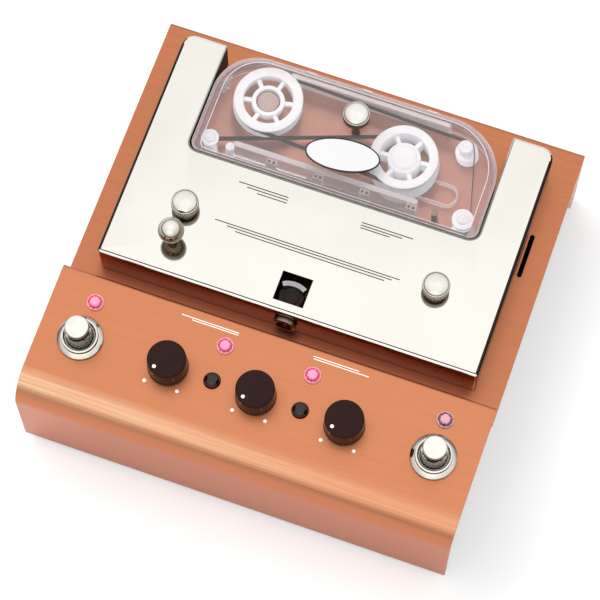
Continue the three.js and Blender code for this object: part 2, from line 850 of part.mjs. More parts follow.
// Transfer lever between the lock slider and the head carriage
const swing = lock.travel / lever.armLock;
const leverHoles = [lever.armLock, lever.armHead].map((arm, i) => {
  const sign = i ? 1 : -1;
  return slab(stadium(
    new THREE.Vector2(sign * arm - slip, 0),
    new THREE.Vector2(sign * arm + slip, 0),
    lever.pin + slip,
  ), leverBottom - over, leverTop + over);
});
const leverPlate = slab(stadium(
  new THREE.Vector2(-lever.armLock, 0),
  new THREE.Vector2(lever.armHead, 0),
  lever.end,
), leverBottom, leverTop);
const leverBore = rod(0, 0, lever.pivot + slip, leverBottom - over, leverTop + over);
const leverMesh = add("transfer_lever", cut(leverPlate, leverBore, ...leverHoles), "steel");
leverMesh.position.set(0, leverY, 0);
leverMesh.rotation.z = -swing / 2;

// Head carriage: plate on the deck, with a tongue to the lever and the pin of the pinch roller
const headPinY = leverY - carriage.travel / 2;
const tongueLeft = lever.armHead - carriage.tongue;
const tongueRight = lever.armHead + carriage.tongue;
const carriageRight = roller.x + roller.radius + carriage.margin;
const carriagePlate = slab(outline([
  { x: carriage.from, y: carriageFront },
  { x: tongueLeft, y: carriageFront },
  { x: tongueLeft, y: headPinY - carriage.tongue, r: carriage.tongue / 2 },
  { x: tongueRight, y: headPinY - carriage.tongue, r: carriage.tongue / 2 },
  { x: tongueRight, y: carriageFront },
  { x: carriageRight, y: carriageFront },
  { x: carriageRight, y: headNose - carriage.nosing },
  { x: carriage.from, y: headNose - carriage.nosing },
]), slideZ, plateTop);
const carriageSlots = [-carriage.postX, carriage.postX].map((x) => slab(stadium(
  new THREE.Vector2(x, postY - carriage.travel),
  new THREE.Vector2(x, postY),
  lever.pivot + slip,
), slideZ - over, plateTop + over));
const carriagePin = rod(lever.armHead, headPinY, lever.pin, slideZ, leverTop);
const rollerBottom = plateTop + seat;
const rollerPin = rod(roller.x, rollerY, roller.pin, slideZ, rollerBottom + roller.height + seat);
add("head_carriage", cut(join(carriagePlate, carriagePin, rollerPin), ...carriageSlots), "steel");

// Heads, one for each pressure pad, with a rounded nose toward the tape
for (let i = 0; i < pads.count; i += 1) {
  const x = pads.centre + (i - (pads.count - 1) / 2) * pads.pitch;
  const headShape = outline([
    { x: x - head.width / 2, y: headNose - head.depth },
    { x: x + head.width / 2, y: headNose - head.depth },
    { x: x + head.width / 2, y: headNose, r: head.width / 2 - head.nose },
    { x: x - head.width / 2, y: headNose, r: head.width / 2 - head.nose },
  ]);
  add(`head_${i + 1}`, slab(headShape, headBottom, headBottom + head.height), "steel");
}

// Pinch roller
const rollerRing = ring([
  [roller.pin + slip, 0],
  [roller.radius, 0],
  [roller.radius, roller.height],
  [roller.pin + slip, roller.height],
]);
const rollerMesh = add("pinch_roller", rollerRing, "rubber");
rollerMesh.position.set(roller.x, rollerY, rollerBottom);

// Capstan and flywheel
const capstanBottom = pan.floor + bearing.blind + seat;
const capstanProfile = [
  [0, capstanBottom],
  [capstan.radius, capstanBottom],
  [capstan.radius, flywheel.bottom - flywheel.hub],
  [flywheel.hub, flywheel.bottom - flywheel.hub],
  [flywheel.hub, flywheel.bottom],
  [flywheel.radius, flywheel.bottom],
  [flywheel.radius, flywheel.bottom + flywheel.height],
  [flywheel.hub, flywheel.bottom + flywheel.height],
  [flywheel.hub, flywheel.bottom + flywheel.height + capstan.gap],
  [capstan.radius, flywheel.bottom + flywheel.height + capstan.gap],
  [capstan.radius, shell.deckHeight + capstan.top],
  [0, shell.deckHeight + capstan.top],
];
const capstanMesh = add("capstan_flywheel", turned(capstanProfile, facets.large), "brass");
capstanMesh.position.set(roller.x, capstanY, 0);

// Motor on the pan's floor, its pulley, and the belt round pulley and flywheel
const motorBottom = pan.floor + seat;
const motorTop = motorBottom + motor.height;
const motorProfile = [
  [0, motorBottom],
  [motor.radius, motorBottom],
  [motor.radius, motorTop],
  [motor.cap, motorTop],
  [motor.cap, motorTop + motor.capHeight],
  [pulley.shaft + slip, motorTop + motor.capHeight],
  [pulley.shaft + slip, motorTop - pulley.socket],
  [0, motorTop - pulley.socket],
];
const motorMesh = add("motor", turned(motorProfile), "steel");
motorMesh.position.set(motor.x, motor.y, 0);
const pulleyProfile = [
  [0, motorTop - pulley.socket + seat],
  [pulley.shaft, motorTop - pulley.socket + seat],
  [pulley.shaft, motorTop + motor.capHeight + seat],
  [pulley.radius, motorTop + motor.capHeight + seat],
  [pulley.radius, flywheel.bottom + flywheel.height],
  [0, flywheel.bottom + flywheel.height],
];
const pulleyMesh = add("motor_pulley", turned(pulleyProfile), "brass");
pulleyMesh.position.set(motor.x, motor.y, 0);

// Outline of a band round two circles
function bandOutline(first, second) {
  const points = [];
  const gapX = second.x - first.x;
  const gapY = second.y - first.y;
  const distance = Math.hypot(gapX, gapY);
  const heading = Math.atan2(gapY, gapX);
  const lean = Math.asin((first.radius - second.radius) / distance);
  [[second, -Math.PI / 2 + lean, Math.PI / 2 - lean], [first, Math.PI / 2 - lean, 1.5 * Math.PI + lean]]
    .forEach(([circle, from, to]) => {
      const count = facets.small;
      for (let k = 0; k <= count; k += 1) {
        const angle = heading + from + ((to - from) * k) / count;
        points.push(new THREE.Vector2(
          circle.x + circle.radius * Math.cos(angle),
          circle.y + circle.radius * Math.sin(angle),
        ));
      }
    });
  return points;
}

const fine = 1 / Math.cos(Math.PI / facets.small);
const beltCircles = (extra) => [
  { x: roller.x, y: capstanY, radius: (flywheel.radius + seat) * fine + extra },
  { x: motor.x, y: motor.y, radius: (pulley.radius + seat) * fine + extra },
];
const beltZ = flywheel.bottom + (flywheel.height - belt.width) / 2;
const beltOuter = slab(bandOutline(...beltCircles(belt.thick)), beltZ, beltZ + belt.width);
const beltInner = slab(bandOutline(...beltCircles(0)), beltZ - over, beltZ + belt.width + over);
add("drive_belt", cut(beltOuter, beltInner), "rubber");

// Cartridge tray: floor, wall, posts for reels and guides, open mouth at the front
function cartridgeOutline(inset) {
  const half = cartridge.half - inset;
  return outline([
    { x: -half, y: cartridge.front + inset, r: cartridge.frontCorner - inset },
    { x: half, y: cartridge.front + inset, r: cartridge.frontCorner - inset },
    { x: half, y: cartridge.rear - inset, r: cartridge.rearRightCorner - inset },
    { x: -half, y: cartridge.rear - inset, r: cartridge.rearLeftCorner - inset },
  ]);
}

const trayBottom = shell.deckHeight + seat;
const ribFrom = new THREE.Vector2(rib.from, rib.y);
const ribTo = new THREE.Vector2(rib.to, rib.y);
const ribLoop = slab(
  stadium(ribFrom, ribTo, rib.radius),
  trayBottom,
  trayFloor + rib.height,
  [stadium(ribFrom, ribTo, rib.radius - rib.thick)],
);
const reelRoom = rod(reelRight.x, reelRight.y, reelRight.flange + 2 * seat, trayFloor, reelTop, facets.large);
const ribRing = cut(ribLoop, reelRoom);
const trayPosts = [
  turned([
    [0, trayBottom],
    [reel.bore - bossGap, trayBottom],
    ...dome(reel.bore - bossGap, reelTop - 2 * hubDome, hubDome),
  ]).translate(reelLeft.x, reelLeft.y, 0),
  rod(reelRight.x, reelRight.y, axle, trayBottom, reelTop - 2 * hubDome),
  ...Object.values(guides).map(({ x, y }) => rod(x, y, pin, trayBottom, reelTop)),
];
const trayCuts = [
  block(
    cartridge.mouthX - cartridge.mouthHalf,
    cartridge.mouthX + cartridge.mouthHalf,
    cartridge.front - over,
    tapeFront - slip,
    0,
    mouthTop,
  ),
  rod(roller.x, capstanY, capstan.radius + capstan.gap, 0, reelTop),
  rod(thumb.cartridgeX, thumb.cartridgeY, thumb.shank + slip, 0, coverTop),
];
const trayBody = cut(
  slab(cartridgeOutline(0), trayBottom, trayRim),
  slab(cartridgeOutline(cartridge.wall), trayFloor, coverTop),
);
add("cartridge_tray", cut(join(trayBody, ribRing, ...trayPosts), ...trayCuts), "clear");

// Cartridge lid
const lidPlate = slab(cartridgeOutline(0), trayRim + seat, lidTop);
const lidHole = rod(thumb.cartridgeX, thumb.cartridgeY, thumb.shank + slip, trayRim, lidTop + over);
add("cartridge_lid", cut(lidPlate, lidHole), "clear");

// Oval badge on the lid
const badgePlate = new THREE.Shape();
badgePlate.absellipse(0, 0, badge.halfWidth, badge.halfDepth, 0, 2 * Math.PI, false, 0);
const badgeDepth = { depth: badge.thick, bevelEnabled: false, curveSegments: facets.small };
const badgeMesh = add("cartridge_badge", new THREE.ExtrudeGeometry(badgePlate, badgeDepth), "badge");
badgeMesh.position.set(badge.x, badge.y, lidTop + seat);
badgeMesh.rotation.z = badge.turn;

// Bar with the pressure pads
const barBottom = trayFloor + seat;
const barTop = barBottom + pads.height;
const padBlocks = [];
for (let i = 0; i < pads.count; i += 1) {
  const x = pads.centre + (i - (pads.count - 1) / 2) * pads.pitch;
  padBlocks.push(block(
    x - pads.width / 2,
    x + pads.width / 2,
    tapeBack + seat,
    pads.barY + pads.barThick / 2,
    barBottom,
    barTop,
  ));
}
const bar = block(pads.barFrom, pads.barTo, pads.barY, pads.barY + pads.barThick, barBottom, barTop);
const barEnd = rod(pads.endX, pads.endY, pads.endRadius, barBottom, barTop);
add("pad_bar", join(bar, barEnd, ...padBlocks), "milky");

// Reels
function reelRing(bottom, { flange, channel }) {
  return ring([
    [reel.inner, bottom],
    [flange, bottom],
    [flange, bottom + reel.rimThick],
    [channel, bottom + reel.rimThick],
    [channel, reelTop - reel.rimThick],
    [flange, reelTop - reel.rimThick],
    [flange, reelTop],
    [reel.inner, reelTop],
  ], facets.large);
}

function spokesOf(bottom, turn) {
  return Array.from({ length: reel.spokes }, (_, i) => block(
    reel.hub - seat,
    reel.inner + seat,
    -reel.spoke / 2,
    reel.spoke / 2,
    bottom + spokeDrop,
    reelTop - spokeDrop,
  ).rotateZ(turn + (2 * Math.PI * i) / reel.spokes));
}

const leftHub = ring([
  [reel.bore, reelLeftBottom],
  [reel.hub, reelLeftBottom],
  [reel.hub, reelTop],
  [reel.bore, reelTop],
]);
const leftRing = reelRing(reelLeftBottom, reelLeft);
const leftSpokes = spokesOf(reelLeftBottom, reelLeft.turn);
const reelLeftMesh = add("reel_left", join(leftRing, leftHub, ...leftSpokes), "whitePlastic");
reelLeftMesh.position.set(reelLeft.x, reelLeft.y, 0);
const rightHub = turned([
  [0, reelTop - 2 * hubDome + seat],
  [axle + slip, reelTop - 2 * hubDome + seat],
  [axle + slip, reelRightBottom],
  [reel.hub, reelRightBottom],
  ...dome(reel.hub, reelTop - hubDome, hubDome),
]);
const rightRing = reelRing(reelRightBottom, reelRight);
const rightSpokes = spokesOf(reelRightBottom, reelRight.turn);
const reelRightMesh = add("reel_right", join(rightRing, rightHub, ...rightSpokes), "whitePlastic");
reelRightMesh.position.set(reelRight.x, reelRight.y, 0);

// Guide rollers. The upper disc is near the top, or low, under the tape's high level.
const underHighTape = tapeHigh - tape.width / 2 - 4 * tape.room;
Object.entries(guides).forEach(([name, { x, y, core, disc, low }]) => {
  const z0 = trayFloor + seat;
  const z1 = reelTop + guideDisc;
  const discTop = low ? underHighTape : z1 - guideDisc;
  const discThick = low ? guideDisc / 2 : guideDisc;
  const bore = pin + slip;
  const profile = [
    [bore, z0],
    [disc, z0],
    [disc, z0 + guideDisc / 2],
    [core, z0 + guideDisc / 2],
    [core, discTop - discThick],
    [disc, discTop - discThick],
    [disc, discTop],
    [core, discTop],
    [core, z1],
    [0, z1],
    [0, z1 - guideDisc + seat],
    [bore, z1 - guideDisc + seat],
    [bore, z0],
  ];
  const mesh = add(name, turned(profile, facets.small + facets.dome), "milky");
  mesh.position.set(x, y, 0);
});

// Endless tape. Each wheel: centre, radius of the tape on it, the side it passes, and its level.
const wheels = [
  { ...guides.guide_front_left, r: guides.guide_front_left.core + slip + tape.thick / 2, z: tapeLow },
  { ...guides.guide_front_right, r: guides.guide_front_right.core + slip + tape.thick / 2, z: tapeLow },
  { ...guides.guide_rear_right, r: guides.guide_rear_right.core + slip + tape.thick / 2, z: tapeHigh },
  { ...reelLeft, r: reelLeft.channel + slip + tape.thick / 2, z: tapeHigh },
  { ...reelRight, r: reelRight.channel + slip + tape.thick / 2, z: tapeLow, arrive: tapeHigh },
];

// Every wheel is passed anticlockwise, so each straight run touches both wheels on its right side.
const runs = wheels.map((wheel, i) => {
  const next = wheels[(i + 1) % wheels.length];
  const distance = Math.hypot(next.x - wheel.x, next.y - wheel.y);
  const heading = Math.atan2(next.y - wheel.y, next.x - wheel.x);
  return heading + Math.asin((next.r - wheel.r) / distance) * -1 - Math.PI / 2;
});
const ribbon = [];
wheels.forEach((wheel, i) => {
  const from = runs[(i + wheels.length - 1) % wheels.length];
  let to = runs[i];
  while (to < from) {
    to += 2 * Math.PI;
  }
  const arriving = wheel.arrive ?? wheel.z;
  for (let k = 0; k <= tape.steps; k += 1) {
    const angle = from + ((to - from) * k) / tape.steps;
    ribbon.push({
      x: wheel.x + wheel.r * Math.cos(angle),
      y: wheel.y + wheel.r * Math.sin(angle),
      z: arriving + ((wheel.z - arriving) * k) / tape.steps,
      angle,
    });
  }
});
const tapePoints = [];
const tapeFaces = [];
ribbon.forEach(({ x, y, z, angle }) => {
  [[-1, -1], [1, -1], [1, 1], [-1, 1]].forEach(([side, level]) => {
    const shift = (side * tape.thick) / 2;
    tapePoints.push(
      x + shift * Math.cos(angle),
      y + shift * Math.sin(angle),
      z + (level * tape.width) / 2,
    );
  });
});
ribbon.forEach((_, i) => {
  const here = 4 * i;
  const next = 4 * ((i + 1) % ribbon.length);
  for (let k = 0; k < 4; k += 1) {
    const l = (k + 1) % 4;
    tapeFaces.push(here + k, here + l, next + l, here + k, next + l, next + k);
  }
});
const tapeBand = new THREE.BufferGeometry();
tapeBand.setAttribute("position", new THREE.Float32BufferAttribute(tapePoints, 3));
tapeBand.setIndex(tapeFaces);
add("tape_loop", tapeBand, "tape");

// Knobs on their shafts
Object.entries(knobs).forEach(([name, x]) => {
  const top = knob.height + knob.edge;
  const profile = [
    [0, -knob.sunk],
    [knob.shaft, -knob.sunk],
    [knob.shaft, knob.recessDepth],
    [knob.recess, knob.recessDepth],
    [knob.recess, knob.edge],
    [knob.base, knob.edge],
    [knob.top, knob.height],
    [knob.top - knob.edge, top],
    [0, top],
  ];
  const mesh = add(name, turned(profile, facets.large), "darkPlastic", panel);
  mesh.position.set(x, knobY, 0);
});

// Pots under the panel
const underPanel = -shell.sheet - seat;
const canTop = underPanel;
const canBottom = canTop - pot.canHeight;
Object.keys(knobs).forEach((name) => {
  const profile = [
    [0, canBottom - pot.floor],
    [pot.can, canBottom - pot.floor],
    [pot.can, canTop],
    [pot.bush, canTop],
    [pot.bush, pot.bushHeight],
    [knob.shaft + slip, pot.bushHeight],
    [knob.shaft + slip, -knob.sunk - seat],
    [0, -knob.sunk - seat],
  ];
  const mesh = add(name.replace("knob", "pot"), turned(profile), "steel", panel);
  mesh.position.set(knobs[name], knobY, 0);
});

// Dome push buttons, held by a flange under the panel, over their switches
Object.entries(buttons).forEach(([name, x]) => {
  const flangeTop = underPanel;
  const flangeBottom = flangeTop - button.flangeThick;
  const profile = [
    [0, flangeBottom - button.plunger],
    [button.plunger, flangeBottom - button.plunger],
    [button.plunger, flangeBottom],
    [button.flange, flangeBottom],
    [button.flange, flangeTop],
    [button.radius, flangeTop],
    ...dome(button.radius, button.rim, button.dome - button.rim),
  ];
  const mesh = add(name, turned(profile, facets.small + facets.dome), "darkPlastic", panel);
  mesh.position.set(x, buttonY, 0);
  const top = flangeBottom - button.travel - seat;
  const body = block(-buttonSwitch.half, buttonSwitch.half, -buttonSwitch.half, buttonSwitch.half,
    top - buttonSwitch.height, top);
  const well = rod(0, 0, button.plunger + slip, top - 2 * button.travel, top + over);
  const housing = add(name.replace("button", "button_switch"), cut(body, well), "darkPlastic", panel);
  housing.position.set(x, buttonY, 0);
});

// Footswitches: can and bush, dished conical nut, cap on its plunger
[["left", -1], ["right", 1]].forEach(([name, side]) => {
  const x = side * footswitchX;
  const y = footswitchY;
  const capBottom = footswitch.capTop - footswitch.capThick;
  const bushTop = capBottom - footswitch.travel - seat;
  const half = footswitch.canHalf;
  const canFloor = underPanel - footswitch.washerThick - footswitch.canHeight;
  const can = block(-half, half, -half, half, canFloor, underPanel - footswitch.washerThick);
  const washer = rod(0, 0, footswitch.washer, underPanel - footswitch.washerThick - seat, underPanel);
  const bush = rod(0, 0, footswitch.bush, underPanel - over, bushTop, facets.medium);
  const plungerBottom = underPanel - footswitch.washerThick;
  const bore = rod(0, 0, footswitch.bore, plungerBottom - footswitch.travel - seat, bushTop + over);
  const body = add(`footswitch_body_${name}`, cut(join(can, washer, bush), bore), "steel", panel);
  body.position.set(x, y, 0);
  const capProfile = [
    [0, plungerBottom],
    [footswitch.plunger, plungerBottom],
    [footswitch.plunger, capBottom],
    [footswitch.cap, capBottom],
    [footswitch.cap, footswitch.capTop - seat],
    [footswitch.cap - seat, footswitch.capTop],
    [0, footswitch.capTop],
  ];
  const cap = add(`footswitch_cap_${name}`, turned(capProfile), "chrome", panel);
  cap.position.set(x, y, 0);
  const nutBore = footswitch.bush + slip;
  const nutProfile = [
    [nutBore, seat],
    [nut.base, seat],
    [nut.base, nut.foot],
    [nut.shoulder, nut.height],
    [nut.dishFloor, nut.height],
    [nut.dishFloor, nut.height - nut.dish],
    [nutBore, nut.height - nut.dish],
  ];
  const ringNut = add(`footswitch_nut_${name}`, ring(nutProfile, facets.large), "chrome", panel);
  ringNut.position.set(x, y, 0);
});

// Indicator lamps: holder with a domed lens, barrel through the panel
Object.entries(leds).forEach(([name, x]) => {
  const profile = [
    [0, -led.depth],
    [led.barrel, -led.depth],
    [led.barrel, seat],
    [led.bezel, seat],
    [led.bezel, led.bezelHeight],
    [led.lens, led.bezelHeight],
    ...dome(led.lens, led.bezelHeight + seat, led.lensHeight - led.bezelHeight - seat),
  ];
  const mesh = add(name, turned(profile, facets.small + facets.dome), "lens", panel);
  mesh.position.set(x, ledY, 0);
});

// Circuit board under the pots and switches
const boardTop = Math.min(canBottom - pot.floor, underPanel - button.flangeThick - button.travel
  - seat - buttonSwitch.height) - seat;
const boardHalf = footswitchX - footswitch.canHalf - board.gap;
const boardRear = shell.panelDepth - board.step;
add(
  "circuit_board",
  block(-boardHalf, boardHalf, board.front, boardRear, boardTop - board.thick, boardTop),
  "board",
  panel,
);

// Jacks in the rear wall, their axes along Y
Object.entries(jacks).forEach(([name, x]) => {
  const inner = -shell.sheet - seat;
  const bushEnd = jack.proud;
  const body = block(-jack.half, jack.half, -jack.half, jack.half, inner - jack.depth, inner);
  const bush = rod(0, 0, jack.bush, inner - over, bushEnd, facets.medium);
  const ringNut = rod(0, 0, jack.nut, seat, bushEnd - seat, 6);
  const bore = rod(0, 0, jack.bore, inner - jack.depth + over, bushEnd + over, facets.medium);
  const mesh = add(name, cut(join(body, bush, ringNut), bore), "steel");
  mesh.position.set(x, shell.depth, jack.height);
  mesh.rotation.x = -Math.PI / 2;
});

// Round power inlet with its centre pin
const inletInner = -shell.sheet - seat;
const inletBody = join(
  rod(0, 0, inlet.barrel, inletInner - inlet.depth, inlet.proud),
  rod(0, 0, inlet.flange, seat, inlet.proud),
);
const inletBore = cut(
  rod(0, 0, inlet.bore, inletInner - inlet.depth + over, inlet.proud + over),
  rod(0, 0, inlet.pin, inletInner - inlet.depth, inlet.proud - inlet.pinSink),
);
const inletMesh = add("power_inlet", cut(inletBody, inletBore), "darkPlastic");
inletMesh.position.set(inletX, shell.depth, inlet.height);
inletMesh.rotation.x = -Math.PI / 2;

export default unit;
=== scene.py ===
# %% [markdown]
# # A tape echo unit
# A low case of brushed copper-coloured sheet carries foot controls in front and a tape deck behind,
# under a polished nickel cover and a clear cartridge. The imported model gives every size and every
# moving body. This lesson dresses it: each piece that shows is made again with fine edges, and each
# surface gets a finish of its own.

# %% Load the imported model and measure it
import json
import math

import bmesh
import bpy
from mathutils import Matrix, Vector


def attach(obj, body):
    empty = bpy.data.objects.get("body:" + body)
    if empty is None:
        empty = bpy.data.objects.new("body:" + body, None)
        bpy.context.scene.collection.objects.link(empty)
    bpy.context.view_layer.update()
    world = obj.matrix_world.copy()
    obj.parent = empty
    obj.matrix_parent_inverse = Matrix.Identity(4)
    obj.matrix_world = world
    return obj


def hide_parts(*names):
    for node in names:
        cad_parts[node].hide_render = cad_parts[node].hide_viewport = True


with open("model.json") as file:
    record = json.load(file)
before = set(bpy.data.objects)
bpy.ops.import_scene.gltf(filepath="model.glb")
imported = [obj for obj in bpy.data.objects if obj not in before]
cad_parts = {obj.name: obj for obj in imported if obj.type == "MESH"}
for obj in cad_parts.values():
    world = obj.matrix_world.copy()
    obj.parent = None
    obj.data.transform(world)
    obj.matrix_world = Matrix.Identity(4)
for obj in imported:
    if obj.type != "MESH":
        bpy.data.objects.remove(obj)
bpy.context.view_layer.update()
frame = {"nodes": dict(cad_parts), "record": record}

# %% [markdown]
# ## Where things are
# The sizes in this lesson are millimetres, and the scene is in metres. A point in the case counts from
# the front wall and from the underside of the case. The control panel slopes a little, so its pieces
# stand in a place of their own that is turned with it. Two more turns point a piece's Z out of an
# upright wall, for a screw in front and for the sockets behind.

# %% Places to build in
MM = 0.001
SLOPE = math.radians(2.3)
FRONT_HEIGHT = 60.4
FRONT_FOOT = (0, -103.75, 4)
CASE = Matrix.Translation(Vector(FRONT_FOOT) * MM)
PANEL = CASE @ Matrix.Translation(Vector((0, 0, FRONT_HEIGHT)) * MM) @ Matrix.Rotation(SLOPE, 4, "X")
TO_FRONT = Matrix.Rotation(math.radians(90), 4, "X")
TO_REAR = Matrix.Rotation(math.radians(-90), 4, "X")


def spot(x, y, z=0, ground=CASE, turn=0):
    """A place to build in: millimetres from the ground's corner, turned by degrees about Z."""
    return ground @ Matrix.Translation(Vector((x, y, z)) * MM) @ Matrix.Rotation(math.radians(turn), 4, "Z")


print("panel corner", PANEL.translation)

# %% [markdown]
# ## The camera
# The picture was taken from high above the front right corner with a long lens. Its place and its
# tilt were worked out from the corners of the case, so the render can be laid over it.

# %% Camera
EYE_PLACE = (0.137458, -0.397304, 1.154871)
EYE_TILT, EYE_TURN, EYE_LENS = math.radians(20.252), math.radians(19.487), 151.72
eye = bpy.data.cameras.new("eye")
eye.lens = EYE_LENS
eye.sensor_width = 36
eye_stand = bpy.data.objects.new("eye", eye)
eye_stand.location = EYE_PLACE
eye_stand.rotation_euler = (EYE_TILT, 0, EYE_TURN)
bpy.context.scene.collection.objects.link(eye_stand)
bpy.context.scene.camera = eye_stand
bpy.context.scene.view_settings.view_transform = "Standard"
print("camera at", tuple(eye_stand.location), "lens", eye.lens)

# %% [markdown]
# ## Nodes with fewer words
# A finish is a small tree of nodes. A few helpers keep the trees short: they add a node and fill its
# sockets, lay noise over the object, read where a point is or which way it faces, and turn such a
# source into a range of numbers or colours.

# %% Helpers for node trees
def tone(red, green, blue):
    """A screen colour, 0 to 255, as the linear colour that nodes expect."""
    return tuple((v / 255 / 12.92) if v < 10.3 else ((v / 255 + 0.055) / 1.055) ** 2.4
                 for v in (red, green, blue)) + (1.0,)


def add_node(tree, kind, sockets=None, **settings):
    """Adds a node, sets its options, and fills or links its sockets by name or number."""
    made = tree.nodes.new(kind)
    for key, value in settings.items():
        setattr(made, key, value)
    for key, value in (sockets or {}).items():
        if isinstance(value, bpy.types.NodeSocket):
            tree.links.new(value, made.inputs[key])
        else:
            made.inputs[key].default_value = value
    return made


def grain(tree, stretch, detail=3.0, roughness=0.55):
    """Noise over the object, with that many spots to the metre, or its own count along X, Y and Z."""
    where = add_node(tree, "ShaderNodeTexCoord").outputs["Object"]
    counts = stretch if isinstance(stretch, tuple) else (stretch,) * 3
    laid = add_node(tree, "ShaderNodeMapping", {"Vector": where, "Scale": counts})
    spots = add_node(tree, "ShaderNodeTexNoise", {
        "Vector": laid.outputs["Vector"], "Scale": 1.0, "Detail": detail, "Roughness": roughness})
    return spots.outputs["Fac"]


def coordinate(tree, kind, axis):
    """One axis of the place, with Object, or of the way the surface faces, with Normal."""
    source = add_node(tree, "ShaderNodeTexCoord").outputs[kind]
    return add_node(tree, "ShaderNodeSeparateXYZ", {0: source}).outputs[axis]


print("copper on the screen is", [round(v, 3) for v in tone(212, 130, 88)])

# %% Helpers for ranges and colours
def spread(tree, source, low, high, start=0.3, end=0.7):
    """Stretches a source that runs from start to end over the range from low to high."""
    return add_node(tree, "ShaderNodeMapRange", {
        "Value": source, "From Min": start, "From Max": end,
        "To Min": low, "To Max": high}).outputs["Result"]


def stops(tree, source, *marks):
    """A colour that passes through several marks, each a position and a colour."""
    ramp = add_node(tree, "ShaderNodeValToRGB", {"Fac": source})
    for place, colour in marks[1:-1]:
        ramp.color_ramp.elements.new(place)
    for element, (place, colour) in zip(ramp.color_ramp.elements, marks):
        element.position = place
        element.color = colour
    return ramp.outputs["Color"]


def between(tree, source, first, second):
    """A colour that runs from the first to the second as a noise rises."""
    return stops(tree, source, (0.3, first), (0.7, second))


def mixed(tree, share, first, second):
    """The first colour with a share of the second."""
    return add_node(tree, "ShaderNodeMix", {0: share, 6: first, 7: second}, data_type="RGBA").outputs[2]


def reckon(tree, operation, first, second=0.0):
    """One sum on sources or numbers, such as ADD or MAXIMUM."""
    return add_node(tree, "ShaderNodeMath", {0: first, 1: second}, operation=operation).outputs[0]


def product(tree, first, *others):
    """Several sources or numbers multiplied together."""
    for other in others:
        first = reckon(tree, "MULTIPLY", first, other)
    return first


def window(tree, source, rise, fall):
    """One between the rise and the fall of a source, each a start and an end, and nothing outside."""
    return product(tree, spread(tree, source, 0.0, 1.0, *rise), spread(tree, source, 1.0, 0.0, *fall))


print("helpers for nodes ready")

# %% [markdown]
# ## Finishes
# A finish starts from one Principled shader. `finish` makes it with its plain numbers, and each finish
# then links what varies over the surface: its colour, its roughness and its relief. Most finishes let
# one noise drive all three, which `grained` does in one go.

# %% Helpers for finishes
def finish(name, colour, roughness, metallic=0.0, **numbers):
    """A new finish: its material, its tree and its shader."""
    material = bpy.data.materials.new(name)
    material.use_nodes = True
    shader = material.node_tree.nodes["Principled BSDF"]
    shader.inputs["Base Color"].default_value = colour
    shader.inputs["Roughness"].default_value = roughness
    shader.inputs["Metallic"].default_value = metallic
    for key, value in numbers.items():
        shader.inputs[key.replace("_", " ")].default_value = value
    return material, material.node_tree, shader


def feed(tree, shader, **sources):
    """Links sources to the shader's sockets by name."""
    for key, source in sources.items():
        tree.links.new(source, shader.inputs[key.replace("_", " ")])


def relief(tree, shader, source, depth, strength):
    """Raises the surface by a source, in millimetres."""
    bump = add_node(tree, "ShaderNodeBump", {"Height": source, "Distance": depth * MM, "Strength": strength})
    tree.links.new(bump.outputs["Normal"], shader.inputs["Normal"])


def grained(name, dark, light, rough, stretch, detail=3.0, depth=0.0, strength=0.0, metallic=0.0, **numbers):
    """A finish whose colour, roughness and relief all follow one noise."""
    material, tree, shader = finish(name, light, rough[0], metallic, **numbers)
    marks = grain(tree, stretch, detail)
    feed(tree, shader, Base_Color=between(tree, marks, dark, light), Roughness=spread(tree, marks, *rough))
    if depth:
        relief(tree, shader, marks, depth, strength)
    return material


finishes = {}
print("helpers for finishes ready")

# %% [markdown]
# The case is aluminium sheet, brushed along its width and anodised copper. Brushing leaves scratches
# that are long along X and fine across it, so the noise is stretched hard along X. A coarse layer gives
# the faint bands that the eye sees, and a fine one gives the scratches that blur the reflections.
#
# Three tones of painted light lie over it. In the valley between panel and cover the copper is painted
# darker, as painted shade; on the bend a pale streaky band, a painted highlight, fades from left to right;
# and the upright front wall is painted a deeper copper, a painted reflection. Where the bend and the wall are
# is read from the way the surface faces: its lean is 0 on the panel and 1 on the wall. Painting them by hand
# would do as well, but this follows the sheet by itself.

# %% Brushed copper sheet
# Where the painted shade lies in the valley, the painted highlight on the bend and the painted reflection on
# the wall.
VALLEY_RISE, VALLEY_FALL, VALLEY_SHADE_SIDE = (66 * MM, 74 * MM), (76 * MM, 84 * MM), (88 * MM, 94 * MM)
BEND_RISE, BEND_FALL, WALL_RISE = (0.1, 0.42), (0.6, 0.86), (0.86, 0.98)
LEFT_BAND, RIGHT_BAND, WALL_REFLECTION_SHARE = 0.8, 0.28, 0.8
BEND_HIGHLIGHT, WALL_REFLECTION_TONE = tone(248, 212, 170), tone(222, 124, 72)


